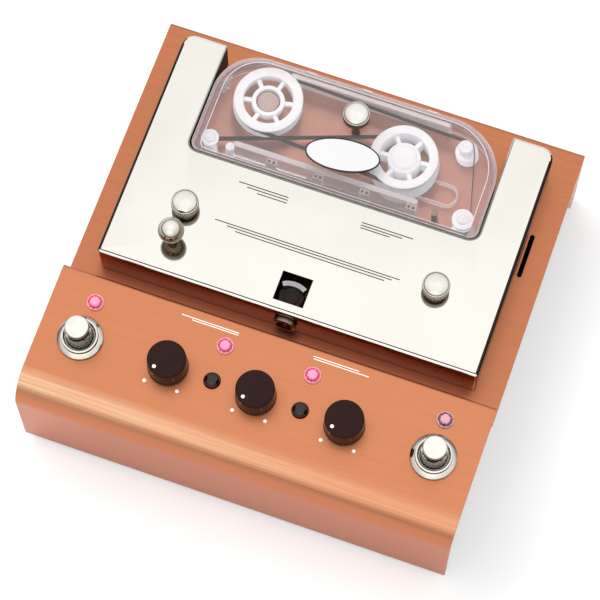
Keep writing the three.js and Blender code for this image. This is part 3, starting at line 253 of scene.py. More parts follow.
def brushed_sheet(name, dark, light, valley_shade_tone):
    """Brushed copper between two tones, with painted shade in the valley in front of the cover, a painted
    highlight on the bend and a painted reflection on the wall.
    """
    material, tree, shader = finish(name, light, 0.36, 1.0, Coat_Weight=0.7, Coat_Roughness=0.3)
    bands = grain(tree, (6, 1300, 1300), 3.0, 0.6)
    scratches = grain(tree, (30, 3400, 3400), 2.0, 0.5)
    streaks = add_node(tree, "ShaderNodeMix", {0: 0.5, 2: bands, 3: scratches}).outputs[0]
    across = coordinate(tree, "Object", "X")
    lean = product(tree, coordinate(tree, "Normal", "Y"), -1.0)
    # Painted shade: darker copper in the valley, only as wide as the cover.
    valley = product(tree, window(tree, coordinate(tree, "Object", "Y"), VALLEY_RISE, VALLEY_FALL),
                     spread(tree, reckon(tree, "ABSOLUTE", across), 1.0, 0.0, *VALLEY_SHADE_SIDE))
    sheet = mixed(tree, valley, between(tree, streaks, dark, light), valley_shade_tone)
    # Painted highlight: a pale streaky band on the bend, stronger at the left.
    bend = product(tree, window(tree, lean, BEND_RISE, BEND_FALL),
                   spread(tree, across, LEFT_BAND, RIGHT_BAND, -100 * MM, 60 * MM),
                   spread(tree, streaks, 0.35, 1.15, 0.38, 0.62))
    sheet = mixed(tree, bend, sheet, BEND_HIGHLIGHT)
    # Painted reflection: a deeper copper on the upright wall.
    sheet = mixed(tree, spread(tree, lean, 0.0, WALL_REFLECTION_SHARE, *WALL_RISE), sheet, WALL_REFLECTION_TONE)
    feed(tree, shader, Base_Color=sheet, Roughness=spread(tree, streaks, 0.32, 0.4))
    relief(tree, shader, streaks, 0.01, 0.35)
    return material


copper = brushed_sheet("brushed_copper", tone(217, 132, 87), tone(227, 145, 99), tone(150, 80, 52))
# The deck's copper is a darker copy of the same sheet metal: painted shade, for the weaker reflection the
# deck catches.
shaded_deck_copper = brushed_sheet("brushed_deck_copper", tone(199, 117, 75), tone(214, 133, 89), tone(162, 88, 60))
finishes["copper"] = copper
print("copper sheets made of", len(copper.node_tree.nodes), "nodes each")

# %% [markdown]
# The cover is nickel plated and polished like a mirror, a little warm. Handling leaves faint smears
# that only show as changes in how sharp the reflection is. The screws and footswitches are chrome.
# Small round metal mirrors the dark things beside it on its flanks, so the chrome's colour carries a painted
# reflection that gets darker the more the surface turns away from above.

# %% Polished nickel and chrome
nickel = grained("polished_nickel", tone(244, 242, 232), tone(249, 247, 238), (0.05, 0.10), 26, metallic=1.0)
finishes["nickel"] = nickel

chrome, tree, shader = finish("warm_chrome", tone(240, 234, 224), 0.1, 1.0)
smears = grain(tree, 160)
facing_reflection = reckon(tree, "ADD", coordinate(tree, "Normal", "Z"), spread(tree, smears, -0.08, 0.08))
# Painted reflection: the chrome is coloured darker as its surface turns from up to sideways and down.
feed(tree, shader,
     Base_Color=stops(tree, facing_reflection, (0.0, tone(104, 92, 78)), (0.3, tone(142, 130, 112)),
                      (0.62, tone(200, 194, 180)), (0.85, tone(236, 232, 220)), (1.0, tone(250, 248, 240))),
     Roughness=spread(tree, smears, 0.1, 0.18))
finishes["chrome"] = chrome
print("bright finishes", sorted(finishes))

# %% [markdown]
# Inside and underneath are plain working metals: black powder coat on the base pan, turned steel, and
# brass for the flywheel and the pulley. Powder coat has the skin of an orange, so its relief is a round
# noise, and turned metal gets a fine even grain.

# %% Working metals
finishes["black_steel"] = grained("black_powder_coat", tone(24, 23, 24), tone(40, 39, 40), (0.45, 0.65),
                                  1400, 2.0, 0.05, 0.5, Specular_IOR_Level=0.4)
finishes["steel"] = grained("turned_steel", tone(158, 159, 161), tone(190, 190, 190), (0.24, 0.42),
                            (400, 400, 1800), 3.0, 0.01, 0.4, 1.0)
finishes["brass"] = grained("turned_brass", tone(138, 124, 98), tone(166, 154, 128), (0.22, 0.4),
                            (500, 500, 1500), 3.0, 0.01, 0.4, 1.0)
print("metals", sorted(finishes))

# %% [markdown]
# The knobs and the lock slide are moulded in a near-black brown, smooth with a fine pebble from the
# mould. A knob's top catches the light of the room and its sides don't, so the knob's colour is
# lighter where it faces up. The push buttons are polished, and rubber is rough and flat.

# %% Dark plastic and rubber
def pebbled(name, rough, **numbers):
    """A dark moulding with the fine pebble of its mould. Its colour is linked by the caller."""
    material, tree, shader = finish(name, tone(34, 16, 15), rough[0], 0.0, **numbers)
    pebble = grain(tree, 2600, 2.0)
    feed(tree, shader, Roughness=spread(tree, pebble, *rough))
    relief(tree, shader, pebble, 0.004, 0.2)
    return material, tree, shader


moulded, tree, shader = pebbled("moulded_dark", (0.16, 0.22), Specular_IOR_Level=0.25)
feed(tree, shader, Base_Color=between(tree, grain(tree, 120, 2.0), tone(33, 12, 10), tone(40, 18, 16)))
finishes["dark_plastic"] = moulded

knob_dark, tree, shader = pebbled("knob_dark", (0.14, 0.2), IOR=1.35, Specular_IOR_Level=0.12)
feed(tree, shader, Base_Color=stops(
    tree, coordinate(tree, "Normal", "Z"), (0.0, tone(30, 10, 8)), (0.3, tone(34, 12, 10)),
    (0.7, tone(48, 30, 28)), (1.0, tone(50, 33, 31))))

gloss_dark = grained("polished_dark", tone(26, 13, 16), tone(40, 22, 26), (0.08, 0.16), 300, 2.0,
                     Specular_IOR_Level=0.6)
rubber = grained("foot_rubber", tone(22, 22, 23), tone(42, 41, 41), (0.7, 0.92), 900, 4.0, 0.04, 0.6,
                 Specular_IOR_Level=0.3)
finishes["rubber"] = rubber
print("dark finishes made")

# %% [markdown]
# The reels are white acetal. Light that enters it comes out again a little further on, which is
# subsurface light, and a very weak glow stands for what bounces about between the spokes.

# %% White plastic
white = grained("white_reel_plastic", tone(243, 246, 250), tone(250, 250, 252), (0.32, 0.46), 300, 2.0,
                Subsurface_Weight=0.25, Subsurface_Scale=0.001, Subsurface_Radius=(1.0, 0.95, 0.9),
                Emission_Color=tone(246, 249, 255), Emission_Strength=0.09)
finishes["white_plastic"] = white
print("white finish made")

# %% [markdown]
# The cartridge is clear moulded plastic. A Principled shader with transmission bends the light, and a mix
# with Transparent for shadow rays keeps it from throwing a black shadow on the deck below. Thin walls,
# borders and cut edges look paler than the flat floor because the eye sees more plastic there, so they let
# less light through; that paleness is painted light in finishes of their own, and the brightest edges are
# painted highlights. The rollers and the pad rail's end are a milky kind of it. The weak glow on some kinds
# is painted light.

# %% Clear plastic
def clear_finish(name, tint, roughness, veil, share, glow=0.0):
    """Clear plastic that lets that share of the light through, whose shadow is only a veil, and whose glow is
    painted light.
    """
    material, tree, shader = finish(name, tint, roughness, 0.0, IOR=1.46, Transmission_Weight=share,
                                    Emission_Color=tint, Emission_Strength=glow)
    marks = grain(tree, 90, 4.0)
    feed(tree, shader, Roughness=spread(tree, marks, roughness * 0.5, roughness * 1.6))
    through = add_node(tree, "ShaderNodeBsdfTransparent", {"Color": veil})
    path = add_node(tree, "ShaderNodeLightPath")
    either = add_node(tree, "ShaderNodeMixShader", {
        0: path.outputs["Is Shadow Ray"], 1: shader.outputs["BSDF"], 2: through.outputs["BSDF"]})
    tree.links.new(either.outputs["Shader"], tree.nodes["Material Output"].inputs["Surface"])
    return material


clear = clear_finish("clear_cartridge_plastic", tone(253, 251, 251), 0.02, tone(245, 242, 241), 0.98)
veiled = clear_finish("veiled_cartridge_floor", tone(253, 246, 245), 0.05, tone(252, 249, 248), 0.965, 0.012)
pale_wall_clear = clear_finish("satin_cartridge_wall", tone(240, 228, 230), 0.06, tone(246, 242, 241), 0.88)
border_clear = clear_finish("cartridge_border", tone(232, 214, 214), 0.06, tone(248, 245, 245), 0.92)
# The bright edge finish is a painted highlight.
edge_highlight = clear_finish("bright_cartridge_edge", tone(253, 250, 250), 0.08, tone(240, 232, 230), 0.15)
hazy_clear = clear_finish("hazy_cartridge_plastic", tone(250, 245, 246), 0.06, tone(242, 236, 235), 0.82,
                          0.03)
milky = clear_finish("milky_plastic", tone(250, 251, 255), 0.07, tone(236, 229, 228), 0.5, 0.12)
finishes["clear"], finishes["milky"] = clear, milky
print("clear plastic made")

# %% [markdown]
# Recording tape is a brown oxide on a film, with a satin face. The board is green lacquer over copper, and
# the badge and the panel's lines are printed in plain ink. White ink is the brightest thing on the panel, and
# a little glow, which is painted light, keeps its thin lines white in the knobs' shadow and when the picture
# is small.

# %% Tape, board and inks
oxide = grained("oxide_tape", tone(36, 25, 23), tone(52, 38, 35), (0.28, 0.42), (200, 200, 3000), 2.0,
                Specular_IOR_Level=0.35)
finishes["tape"] = oxide

lacquer, tree, shader = finish("board_lacquer", tone(30, 92, 52), 0.4)
traces = add_node(tree, "ShaderNodeTexBrick", {
    "Scale": 220.0, "Color1": tone(28, 88, 50), "Color2": tone(34, 100, 58), "Mortar": tone(60, 130, 84),
    "Mortar Size": 0.03})
tree.links.new(add_node(tree, "ShaderNodeTexCoord").outputs["Object"], traces.inputs["Vector"])
feed(tree, shader, Base_Color=traces.outputs["Color"], Roughness=spread(tree, grain(tree, 600), 0.3, 0.5))
finishes["board"] = lacquer


def ink(name, first, second, roughness, **numbers):
    """An even colour with a breath of grain: printed ink, and the boss's ring of painted shade."""
    return grained(name, first, second, (roughness - 0.08, roughness + 0.08), 1500, 2.0, **numbers)


finishes["badge"] = ink("badge_white", tone(243, 243, 243), tone(250, 250, 250), 0.35)
# The white ink's glow is painted light.
white_ink = ink("white_ink", tone(250, 250, 250), tone(255, 255, 255), 0.5,
                Emission_Color=tone(255, 255, 255), Emission_Strength=0.3)
black_ink = ink("black_ink", tone(18, 17, 18), tone(30, 28, 28), 0.5)
print("inks made")

# %% [markdown]
# The lamps are pink lenses. Three are lit, with a bright heart, a deep ring and a pale rim, and one is
# off. The rings are one ramp of colour over the distance from the lens's axis, with a little noise on
# it, and the same colours glow.

# %% Lamp lenses
LENS_RADIUS = 4.0


def lens_finish(name, heart, ring, rim, glow):
    """A pink lens with rings of colour from its heart to its rim, which glows that much."""
    material, tree, shader = finish(name, ring, 0.16, 0.0, Specular_IOR_Level=0.6, Emission_Strength=glow)
    where = add_node(tree, "ShaderNodeTexCoord").outputs["Object"]
    flat = add_node(tree, "ShaderNodeVectorMath", {0: where, 1: (1.0, 1.0, 0.0)}, operation="MULTIPLY")
    reach = add_node(tree, "ShaderNodeVectorMath", {0: flat.outputs["Vector"]}, operation="LENGTH")
    share = spread(tree, reach.outputs["Value"], 0.0, 1.0, 0.0, LENS_RADIUS * MM)
    uneven = reckon(tree, "ADD", share, spread(tree, grain(tree, 1300, 1.0), -0.1, 0.1))
    shine = stops(tree, uneven, (0.0, heart), (0.46, heart), (0.64, ring), (0.78, ring), (0.88, rim),
                  (1.0, rim))
    feed(tree, shader, Base_Color=shine, Emission_Color=shine)
    return material


lit_lens = lens_finish("lens_lit", tone(240, 162, 198), tone(218, 58, 106), tone(240, 168, 178), 0.2)
# The lens that is off still glows a little, which is painted light.
dim_lens = lens_finish("lens_off", tone(240, 178, 196), tone(128, 48, 78), tone(206, 184, 186), 0.08)
finishes["lens"] = lit_lens
print("lenses made")

# %% [markdown]
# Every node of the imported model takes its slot's finish now. The pieces that are made again below hide
# their nodes, and the rest keep this.

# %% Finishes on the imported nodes
slot_names = {entry["slot"]: (entry["slot"], entry.get("name")) for entry in frame["record"]["materials"]}
painted = 0
for name, node in frame["nodes"].items():
    for place in node.material_slots:
        plain_name = place.material.name.split(".")[0] if place.material else ""
        slot_name = next((slot for slot, names in slot_names.items() if plain_name in names), None)
        if slot_name:
            place.material = finishes[slot_name]
            painted += 1
        else:
            print("no finish for", name, plain_name)
print("painted", painted, "of", len(frame["nodes"]))

# %% [markdown]
# ## Light, floor and background
# The background is white to the camera. The light on the object is a soft even sky with one large lamp
# from the upper left. Mirrors show what stands round the object, and a product photographer puts dark
# cards there so that bright metal gets dark edges: here the sky that mirrors see is darker low down,
# and brighter high in front. Clear plastic sees a sky of its own, a bit over white.

# %% Light
world = bpy.data.worlds.new("studio")
bpy.context.scene.world = world
world.use_nodes = True
tree = world.node_tree
tree.nodes.clear()
SOFT, WHITE, OVER_WHITE = 0.72, 1.0, 1.12
SKY_LEVELS = ((0.0, 0.12), (0.1, 0.18), (0.32, 0.84), (0.895, 0.98), (0.935, 1.07), (1.0, 1.07))
CARD_WAY = (0.1, -0.82, 0.57)


def grey(level):
    """A grey of the sky."""
    return (level, level, level, 1.0)


def backdrop(strength, colour=(1, 1, 1, 1)):
    """A background of that strength."""
    return add_node(tree, "ShaderNodeBackground", {"Color": colour, "Strength": strength}).outputs[0]


def for_rays(kind, others, these):
    """One light for a kind of ray, and another for the rest."""
    return add_node(tree, "ShaderNodeMixShader", {0: rays[kind], 1: others, 2: these}).outputs[0]


rays = add_node(tree, "ShaderNodeLightPath").outputs
sky = stops(tree, coordinate(tree, "Generated", "Z"),
            *[(height, grey(level)) for height, level in SKY_LEVELS])
way = add_node(tree, "ShaderNodeTexCoord").outputs["Generated"]
card_side = add_node(tree, "ShaderNodeVectorMath", {0: way, 1: CARD_WAY}, operation="DOT_PRODUCT")
card = spread(tree, card_side.outputs["Value"], 1.0, 1.35, 0.78, 0.95)
around = for_rays("Is Glossy Ray", backdrop(SOFT), backdrop(card, sky))
around = for_rays("Is Camera Ray", around, backdrop(WHITE))
around = for_rays("Is Transmission Ray", around, backdrop(OVER_WHITE))
add_node(tree, "ShaderNodeOutputWorld", {"Surface": around})

LAMP_PLACE, LAMP_POWER = (-0.9, 0.5, 1.5), 14
lamp = bpy.data.lights.new("softbox", "AREA")
lamp.shape = "RECTANGLE"
lamp.size, lamp.size_y = 1.6, 1.2
lamp.energy = LAMP_POWER
lamp_stand = bpy.data.objects.new("softbox", lamp)
lamp_stand.location = LAMP_PLACE
lamp_stand.rotation_euler = (-lamp_stand.location).to_track_quat("-Z", "Y").to_euler()
lamp_stand.visible_glossy = False
lamp_stand.visible_transmission = False
bpy.context.scene.collection.objects.link(lamp_stand)
print("sky of", len(SKY_LEVELS), "levels and a lamp of", lamp.energy, "watts")

# %% [markdown]
# The floor is a sheet of white paper. To the camera it glows as much as it takes to look white in the
# light, and it still gets darker where the object's shadow falls, because a shadow takes the lit part
# away and leaves the glow.

# %% Floor
TO_THE_EYE, TO_MIRRORS = 0.42, 0.08
paper, tree, shader = finish("white_paper", tone(235, 235, 235), 0.9, 0.0, Specular_IOR_Level=0.0,
                             Emission_Color=(1, 1, 1, 1))
rays = add_node(tree, "ShaderNodeLightPath").outputs
seen = reckon(tree, "MAXIMUM", rays["Is Camera Ray"], rays["Is Transmission Ray"])
glow = reckon(tree, "ADD", product(tree, seen, TO_THE_EYE), product(tree, rays["Is Glossy Ray"], TO_MIRRORS))
feed(tree, shader, Base_Color=between(tree, grain(tree, 30), tone(233, 233, 233), tone(237, 237, 237)),
     Emission_Strength=glow)
floor_mesh = bmesh.new()
bmesh.ops.create_grid(floor_mesh, x_segments=2, y_segments=2, size=4)
floor_data = bpy.data.meshes.new("floor")
floor_mesh.to_mesh(floor_data)
floor_mesh.free()
floor = bpy.data.objects.new("floor", floor_data)
floor_data.materials.append(paper)
bpy.context.scene.collection.objects.link(floor)
print("floor", floor.dimensions)

# %% [markdown]
# ## Tools for making pieces
# Pieces are made in millimetres as bmesh forms and shrunk to metres at the end. Most of them come from
# three moves that a metal or plastic shop knows: turning a profile about an axis, skinning a row of
# outlines, and cutting one form out of another. Rounding the corners of a profile before it is turned
# or skinned gives each edge the small radius that catches the light.

# %% Rounded outlines and arcs
def rounded(corners, steps=5, closed=True):
    """Points of an outline whose corners, given as (x, y, radius), become arcs."""
    points = []
    for i, (x, y, radius) in enumerate(corners):
        here = Vector((x, y))
        if radius <= 0 or (not closed and i in (0, len(corners) - 1)):
            points.append(here)
            continue
        back = (Vector(corners[i - 1][:2]) - here).normalized()
        on = (Vector(corners[(i + 1) % len(corners)][:2]) - here).normalized()
        half = back.angle(on) / 2
        centre = here + (back + on).normalized() * (radius / math.sin(half))
        first = here + back * (radius / math.tan(half)) - centre
        last = here + on * (radius / math.tan(half)) - centre
        sweep = math.atan2(first.x * last.y - first.y * last.x, first.dot(last))
        for k in range(steps + 1):
            c, s = math.cos(sweep * k / steps), math.sin(sweep * k / steps)
            points.append(centre + Vector((first.x * c - first.y * s, first.x * s + first.y * c)))
    return points


def quarter(steps):
    """The sine and the cosine at even steps over a quarter turn."""
    angles = [math.radians(90) * k / steps for k in range(steps + 1)]
    return [(math.sin(angle), math.cos(angle)) for angle in angles]


print("a rounded square has", len(rounded([(0, 0, 1), (4, 0, 1), (4, 4, 1), (0, 4, 1)])), "points")

# %% Forms from outlines and profiles
def skin(rings, capped=True):
    """Skins a row of rings that have the same number of points."""
    form = bmesh.new()
    rows = [[form.verts.new(point) for point in ring] for ring in rings]
    pairs = list(zip(rows, rows[1:])) if capped else list(zip(rows, rows[1:] + rows[:1]))
    for low, high in pairs:
        for i in range(len(low)):
            j = (i + 1) % len(low)
            form.faces.new((low[i], low[j], high[j], high[i]))
    if capped:
        form.faces.new(rows[0][::-1])
        form.faces.new(rows[-1])
    return form


def prism(points, low, high):
    """An outline raised from one height to another."""
    return skin([[Vector((p.x, p.y, z)) for p in points] for z in (low, high)])


def turned(profile, steps=72, hoop=False, teeth=0, bite=0.0, toothed=(0.0, 0.0)):
    """A profile of (radius, height) points turned about Z. Between two heights it may have teeth."""
    rings = []
    for radius, z in profile:
        ring = []
        for k in range(steps):
            angle = math.tau * k / steps
            cut = bite if teeth and toothed[0] <= z <= toothed[1] and k * teeth * 2 // steps % 2 else 0.0
            ring.append(Vector(((radius - cut) * math.cos(angle), (radius - cut) * math.sin(angle), z)))
        rings.append(ring)
    form = skin(rings, capped=not hoop)
    if not hoop:
        bmesh.ops.delete(form, geom=[f for f in form.faces if len(f.verts) > 4], context="FACES_ONLY")
    bmesh.ops.remove_doubles(form, verts=form.verts, dist=1e-4)
    return form


def lathed(corners, arc=4, steps=72, hoop=False):
    """A profile of (radius, height, rounding) corners, rounded and turned. A hoop's profile is closed."""
    return turned([(p.x, p.y) for p in rounded(corners, arc, closed=hoop)], steps, hoop=hoop)


print("outlines and profiles ready")

# %% Blocks and bars
def box(x0, x1, y0, y1, z0, z1):
    """A plain block between two corners."""
    return prism([Vector((x0, y0)), Vector((x1, y0)), Vector((x1, y1)), Vector((x0, y1))], z0, z1)


def shifted(form, x=0.0, y=0.0, z=0.0, turn=None):
    """Turns a form by a matrix, then moves it."""
    if turn is not None:
        bmesh.ops.transform(form, matrix=turn, verts=form.verts)
    bmesh.ops.translate(form, vec=(x, y, z), verts=form.verts)
    return form


def rod(x, y, radius, low, high, steps=48):
    """A round bar along Z."""
    return shifted(turned([(0, low), (radius, low), (radius, high), (0, high)], steps), x, y)


def crossbar(x, y, z, radius, reach, steps=48):
    """A round bar along Y that reaches equally far to both sides of a point."""
    return shifted(rod(0, 0, radius, -reach, reach, steps), x, y, z, turn=TO_REAR)


print("blocks and bars ready")

# %% Joining and cutting forms
def together(*forms):
    """One form with the faces of several, which lie side by side or just touch."""
    whole = bmesh.new()
    for form in forms:
        data = bpy.data.meshes.new("part")
        form.to_mesh(data)
        form.free()
        whole.from_mesh(data)
        bpy.data.meshes.remove(data)
    return whole


def carved(form, tools, operation="DIFFERENCE"):
    """The form after a Boolean modifier with the tools."""
    things = []
    for each in (form, tools):
        bmesh.ops.recalc_face_normals(each, faces=each.faces)
        data = bpy.data.meshes.new("carving")
        each.to_mesh(data)
        each.free()
        things.append(bpy.data.objects.new("carving", data))
        bpy.context.scene.collection.objects.link(things[-1])
    boolean = things[0].modifiers.new("carve", "BOOLEAN")
    boolean.operation = operation
    boolean.solver = "EXACT"
    boolean.object = things[1]
    result = bmesh.new()
    result.from_object(things[0], bpy.context.evaluated_depsgraph_get())
    for thing in things:
        bpy.data.meshes.remove(thing.data)
    return result


print("carving ready")

# %% [markdown]
# `piece` turns a form into an object: it shrinks it to metres, shades it smooth with sharp creases,
# gives it a finish, puts it on the body it moves with, and hides the nodes it stands for.

# %% From a form to a piece
made_pieces = []


def piece(name, form, body, finish_of, place=CASE, instead_of=(), crease=32, edge=0.0, loops=2,
          also=()):
    """A finished piece. An edge in millimetres softens it, and also holds more finishes for its faces."""
    bmesh.ops.recalc_face_normals(form, faces=form.faces)
    bmesh.ops.scale(form, vec=(MM, MM, MM), verts=form.verts)
    data = bpy.data.meshes.new(name)
    form.to_mesh(data)
    form.free()
    data.shade_smooth()
    data.set_sharp_from_angle(angle=math.radians(crease))
    for material in (finish_of, *also):
        data.materials.append(material)
    thing = bpy.data.objects.new(name, data)
    bpy.context.scene.collection.objects.link(thing)
    thing.matrix_world = place
    if edge:
        bevel = thing.modifiers.new("soft edges", "BEVEL")
        bevel.width = edge * MM
        bevel.segments = loops
        bevel.limit_method = "ANGLE"
        bevel.angle_limit = math.radians(crease)
        bevel.harden_normals = True
        bevel.miter_outer = "MITER_ARC"
    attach(thing, body)
    if instead_of:
        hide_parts(*instead_of)
    made_pieces.append(name)
    return thing


print("ready to make pieces")

# %% [markdown]
# ## The front sheet
# One sheet makes the front wall, a wide bend, the control panel and a short flange down to the deck.
# Its side view is drawn as a path with bend radii, given thickness toward the inside, and stretched
# along X. Small cheeks close its two ends beside the flange. The holes for the shafts, buttons, lamps
# and switches are then cut at right angles to the panel, as a punch would.

# %% Bent sheet
SHEET = 1.5
HALF_WIDTH = 105.0
PANEL_DEPTH = 65.6
DECK = 47.5
STEP_TOP = FRONT_HEIGHT + PANEL_DEPTH * math.tan(SLOPE)


def bent_sheet(path, half_width):
    """A sheet along a (y, z) path, with its metal on the right side of the path."""
    inner = []
    for i, point in enumerate(path):
        way = (path[min(i + 1, len(path) - 1)] - path[max(i - 1, 0)]).normalized()
        inner.append(point + Vector((way.y, -way.x)) * SHEET)
    view = path + inner[::-1]
    return skin([[Vector((x, p.x, p.y)) for p in view] for x in (-half_width, half_width)])


def cheeks(corners):
    """Corner plates at both side edges of the sheet, from (y, z) corners."""
    return together(*[skin([[Vector((x, y, z)) for y, z in corners] for x in span])
                      for span in ((-HALF_WIDTH, SHEET - HALF_WIDTH), (HALF_WIDTH - SHEET, HALF_WIDTH))])


front_path = rounded([(0, 0, 0), (0, FRONT_HEIGHT, 16), (PANEL_DEPTH, STEP_TOP, 2),
                      (PANEL_DEPTH, DECK + 0.3, 0)], 14, closed=False)
print("front sheet path has", len(front_path), "points")

# %% Holes in the panel
KNOB_X, KNOB_Y, KNOB_HOLE = (-42.4, 0.0, 42.4), 35.0, 3.8
BUTTON_X, BUTTON_Y, BUTTON_HOLE = (-21.2, 21.2), 35.2, 3.9
LAMP_X, LAMP_Y, LAMP_HOLE = (-84.5, -21.1, 21.1, 84.5), 52.5, 3.2
SWITCH_X, SWITCH_Y, SWITCH_HOLE = (-85.0, 85.0), 34.4, 6.4
punches = [rod(x, y, radius, -4, 3) for row, y, radius in (
    (KNOB_X, KNOB_Y, KNOB_HOLE), (BUTTON_X, BUTTON_Y, BUTTON_HOLE),
    (LAMP_X, LAMP_Y, LAMP_HOLE), (SWITCH_X, SWITCH_Y, SWITCH_HOLE)) for x in row]
punch = shifted(together(*punches), z=FRONT_HEIGHT, turn=Matrix.Rotation(SLOPE, 4, "X"))
front_cheeks = cheeks([(61, 47.8), (64.6, 47.8), (64.6, 62.03), (56, 61.65)])
front_form = carved(carved(bent_sheet(front_path, HALF_WIDTH), punch), front_cheeks, "UNION")
front_sheet = piece("front_sheet", front_form, "case", copper, instead_of=["front_panel"],
                    edge=0.25)
print("front sheet faces", len(front_sheet.data.polygons))

# %% [markdown]
# ## The deck sheet
# The second sheet slips under the flange, runs back as the deck and turns down as the rear wall. It is
# stamped for the screws, the capstan, a long slot beside the cover and the three sockets. The posts
# of the lock mechanism are welded to it under the cover.

# %% Deck sheet
DEPTH = 205.0
THUMB_SPOTS = ((-61.0, 108.4), (61.0, 108.4))
CARTRIDGE_SCREW = (-1.5, 178.4)
SCREW_HOLE = 2.1
CAPSTAN = (47.5, 147.3)
INPUT_X, OUTPUT_X, POWER_X, SOCKET_HEIGHT = 75, -75, -40, 26
BELOW, ABOVE = DECK - 4, DECK + 4
deck_path = rounded([(PANEL_DEPTH - 7, DECK, 0), (DEPTH, DECK, 2.5), (DEPTH, 0, 0)], 8, closed=False)
side_slot = rounded([(92.9, 134.9, 1.09), (95.1, 134.9, 1.09), (95.1, 157.4, 1.09), (92.9, 157.4, 1.09)])
stampings = [prism(side_slot, BELOW, ABOVE), rod(*CAPSTAN, 1.8, BELOW, ABOVE)]
stampings += [rod(x, y, SCREW_HOLE, BELOW, ABOVE) for x, y in (*THUMB_SPOTS, CARTRIDGE_SCREW)]
stampings += [box(*span, 0, PANEL_DEPTH - SHEET, BELOW, ABOVE) for span in ((-120, -101.4), (101.4, 120))]
stampings += [crossbar(x, DEPTH, SOCKET_HEIGHT, radius, 6)
              for x, radius in ((INPUT_X, 5.5), (OUTPUT_X, 5.5), (POWER_X, 5.9))]
rear_cheeks = cheeks([(196.5, 0), (203.75, 0), (203.75, 46.25), (176, 46.25)])
deck_form = carved(carved(bent_sheet(deck_path, HALF_WIDTH), together(*stampings)), rear_cheeks, "UNION")
posts = [rod(x, y, 1.8, DECK - SHEET, top, 24) for x, y, top in (
    (0, 110.0, 52.1), (-8, 102.3, 49.8), (-30, 122, 49.8), (30, 122, 49.8))]
deck_sheet = piece("deck_sheet", together(deck_form, *posts), "case", shaded_deck_copper,
                   instead_of=["deck_panel"], edge=0.25)
print("deck sheet faces", len(deck_sheet.data.polygons))

# %% [markdown]
# ## The nickel cover
# The cover is a shallow tray turned over, with two arms that reach back past the cartridge. Its outline
# is skinned from the inside of the roof, down the inner wall, under the rim, up the outer wall and over
# the rounded top edge, so it is one closed sheet. Then the window, the mouth for the heads and the
# screw holes are cut.

# %% Cover outline
COVER_LOW, COVER_TOP = 47.8, 67.9
COVER_FRONT, COVER_REAR, COVER_HALF = 74.9, 193.1, 92.1
BAY_HALF, BAY_FRONT = 71.3, 137.3
COVER_WALL = 1.2


def cover_outline(inset):
    """The cover's outline, drawn in by an inset."""
    half, bay = COVER_HALF - inset, BAY_HALF + inset
    front, rear, back = COVER_FRONT + inset, COVER_REAR - inset, BAY_FRONT - inset
    corner, tail = max(1.6 - inset, 0.3), max(6 - inset, 0.3)
    return rounded([
        (-half, front, corner), (half, front, corner), (half, rear, tail), (bay, rear, 0.25),
        (bay, back, 5 + inset), (-bay, back, 5 + inset), (-bay, rear, 0.25), (-half, rear, tail)])


def level(points, z):
    """Lays an outline at a height."""
    return [Vector((p.x, p.y, z)) for p in points]


cover_rings = [level(cover_outline(COVER_WALL), COVER_TOP - COVER_WALL),
               level(cover_outline(COVER_WALL), COVER_LOW), level(cover_outline(0), COVER_LOW)]
for inset, drop in ((0, 1.1), (0.05, 0.95), (0.15, 0.82), (0.95, 0.1), (1.1, 0.03), (1.45, 0)):
    cover_rings.append(level(cover_outline(inset), COVER_TOP - drop))
print("cover outline has", len(cover_rings[0]), "points")

# %% [markdown]
# The walls of the cover mirror the copper and the dark gap beside them, much darker than its roof. A mirror
# alone shows a pale studio there, so the walls get nickel tinted dark, which is a painted reflection, and the
# walls of the bay round the cartridge are black, which is painted shade. Each face is then given the finish
# for the way it faces.

# %% Cover
def reflection_tinted(name, tint):
    """Nickel with a painted reflection: tinted for the dark side of its neighbours that it mirrors."""
    dark = tuple(0.85 * v for v in tint[:3]) + (1.0,)
    return grained(name, dark, tint, (0.08, 0.16), (60, 60, 200), metallic=1.0)


WINDOW_Y = 87.0
RELEASE = (-61.2, 91.5)
SCREW_HEIGHT = 57
UNDER, OVER = COVER_TOP - 4, COVER_TOP + 2
openings = [box(-7.85, 6.65, WINDOW_Y - 7.25, WINDOW_Y + 7.25, UNDER, OVER),
            box(-54, 60, BAY_FRONT - 2.2, BAY_FRONT + 1, 40, 61)]
openings += [rod(x, y, SCREW_HOLE, UNDER, OVER) for x, y in THUMB_SPOTS]
openings += [rod(*RELEASE, 2.8, UNDER, OVER), crossbar(0, COVER_FRONT, SCREW_HEIGHT, 2, 3, 32)]
# Painted shade in black for the bay and the roof's underside, and painted reflections in tinted nickel for
# the walls.
bay_shade = grained("bay_blacking", tone(10, 9, 9), tone(22, 19, 18), (0.5, 0.7), 500,
                    Specular_IOR_Level=0.3)
front_wall_reflection = reflection_tinted("nickel_front_wall", tone(168, 140, 124))
side_wall_reflection = reflection_tinted("nickel_side_wall", tone(62, 54, 50))
cover = piece("nickel_cover", carved(skin(cover_rings), together(*openings)), "case", nickel,
              instead_of=["deck_cover"], edge=0.12, crease=40, also=(bay_shade, front_wall_reflection, side_wall_reflection))
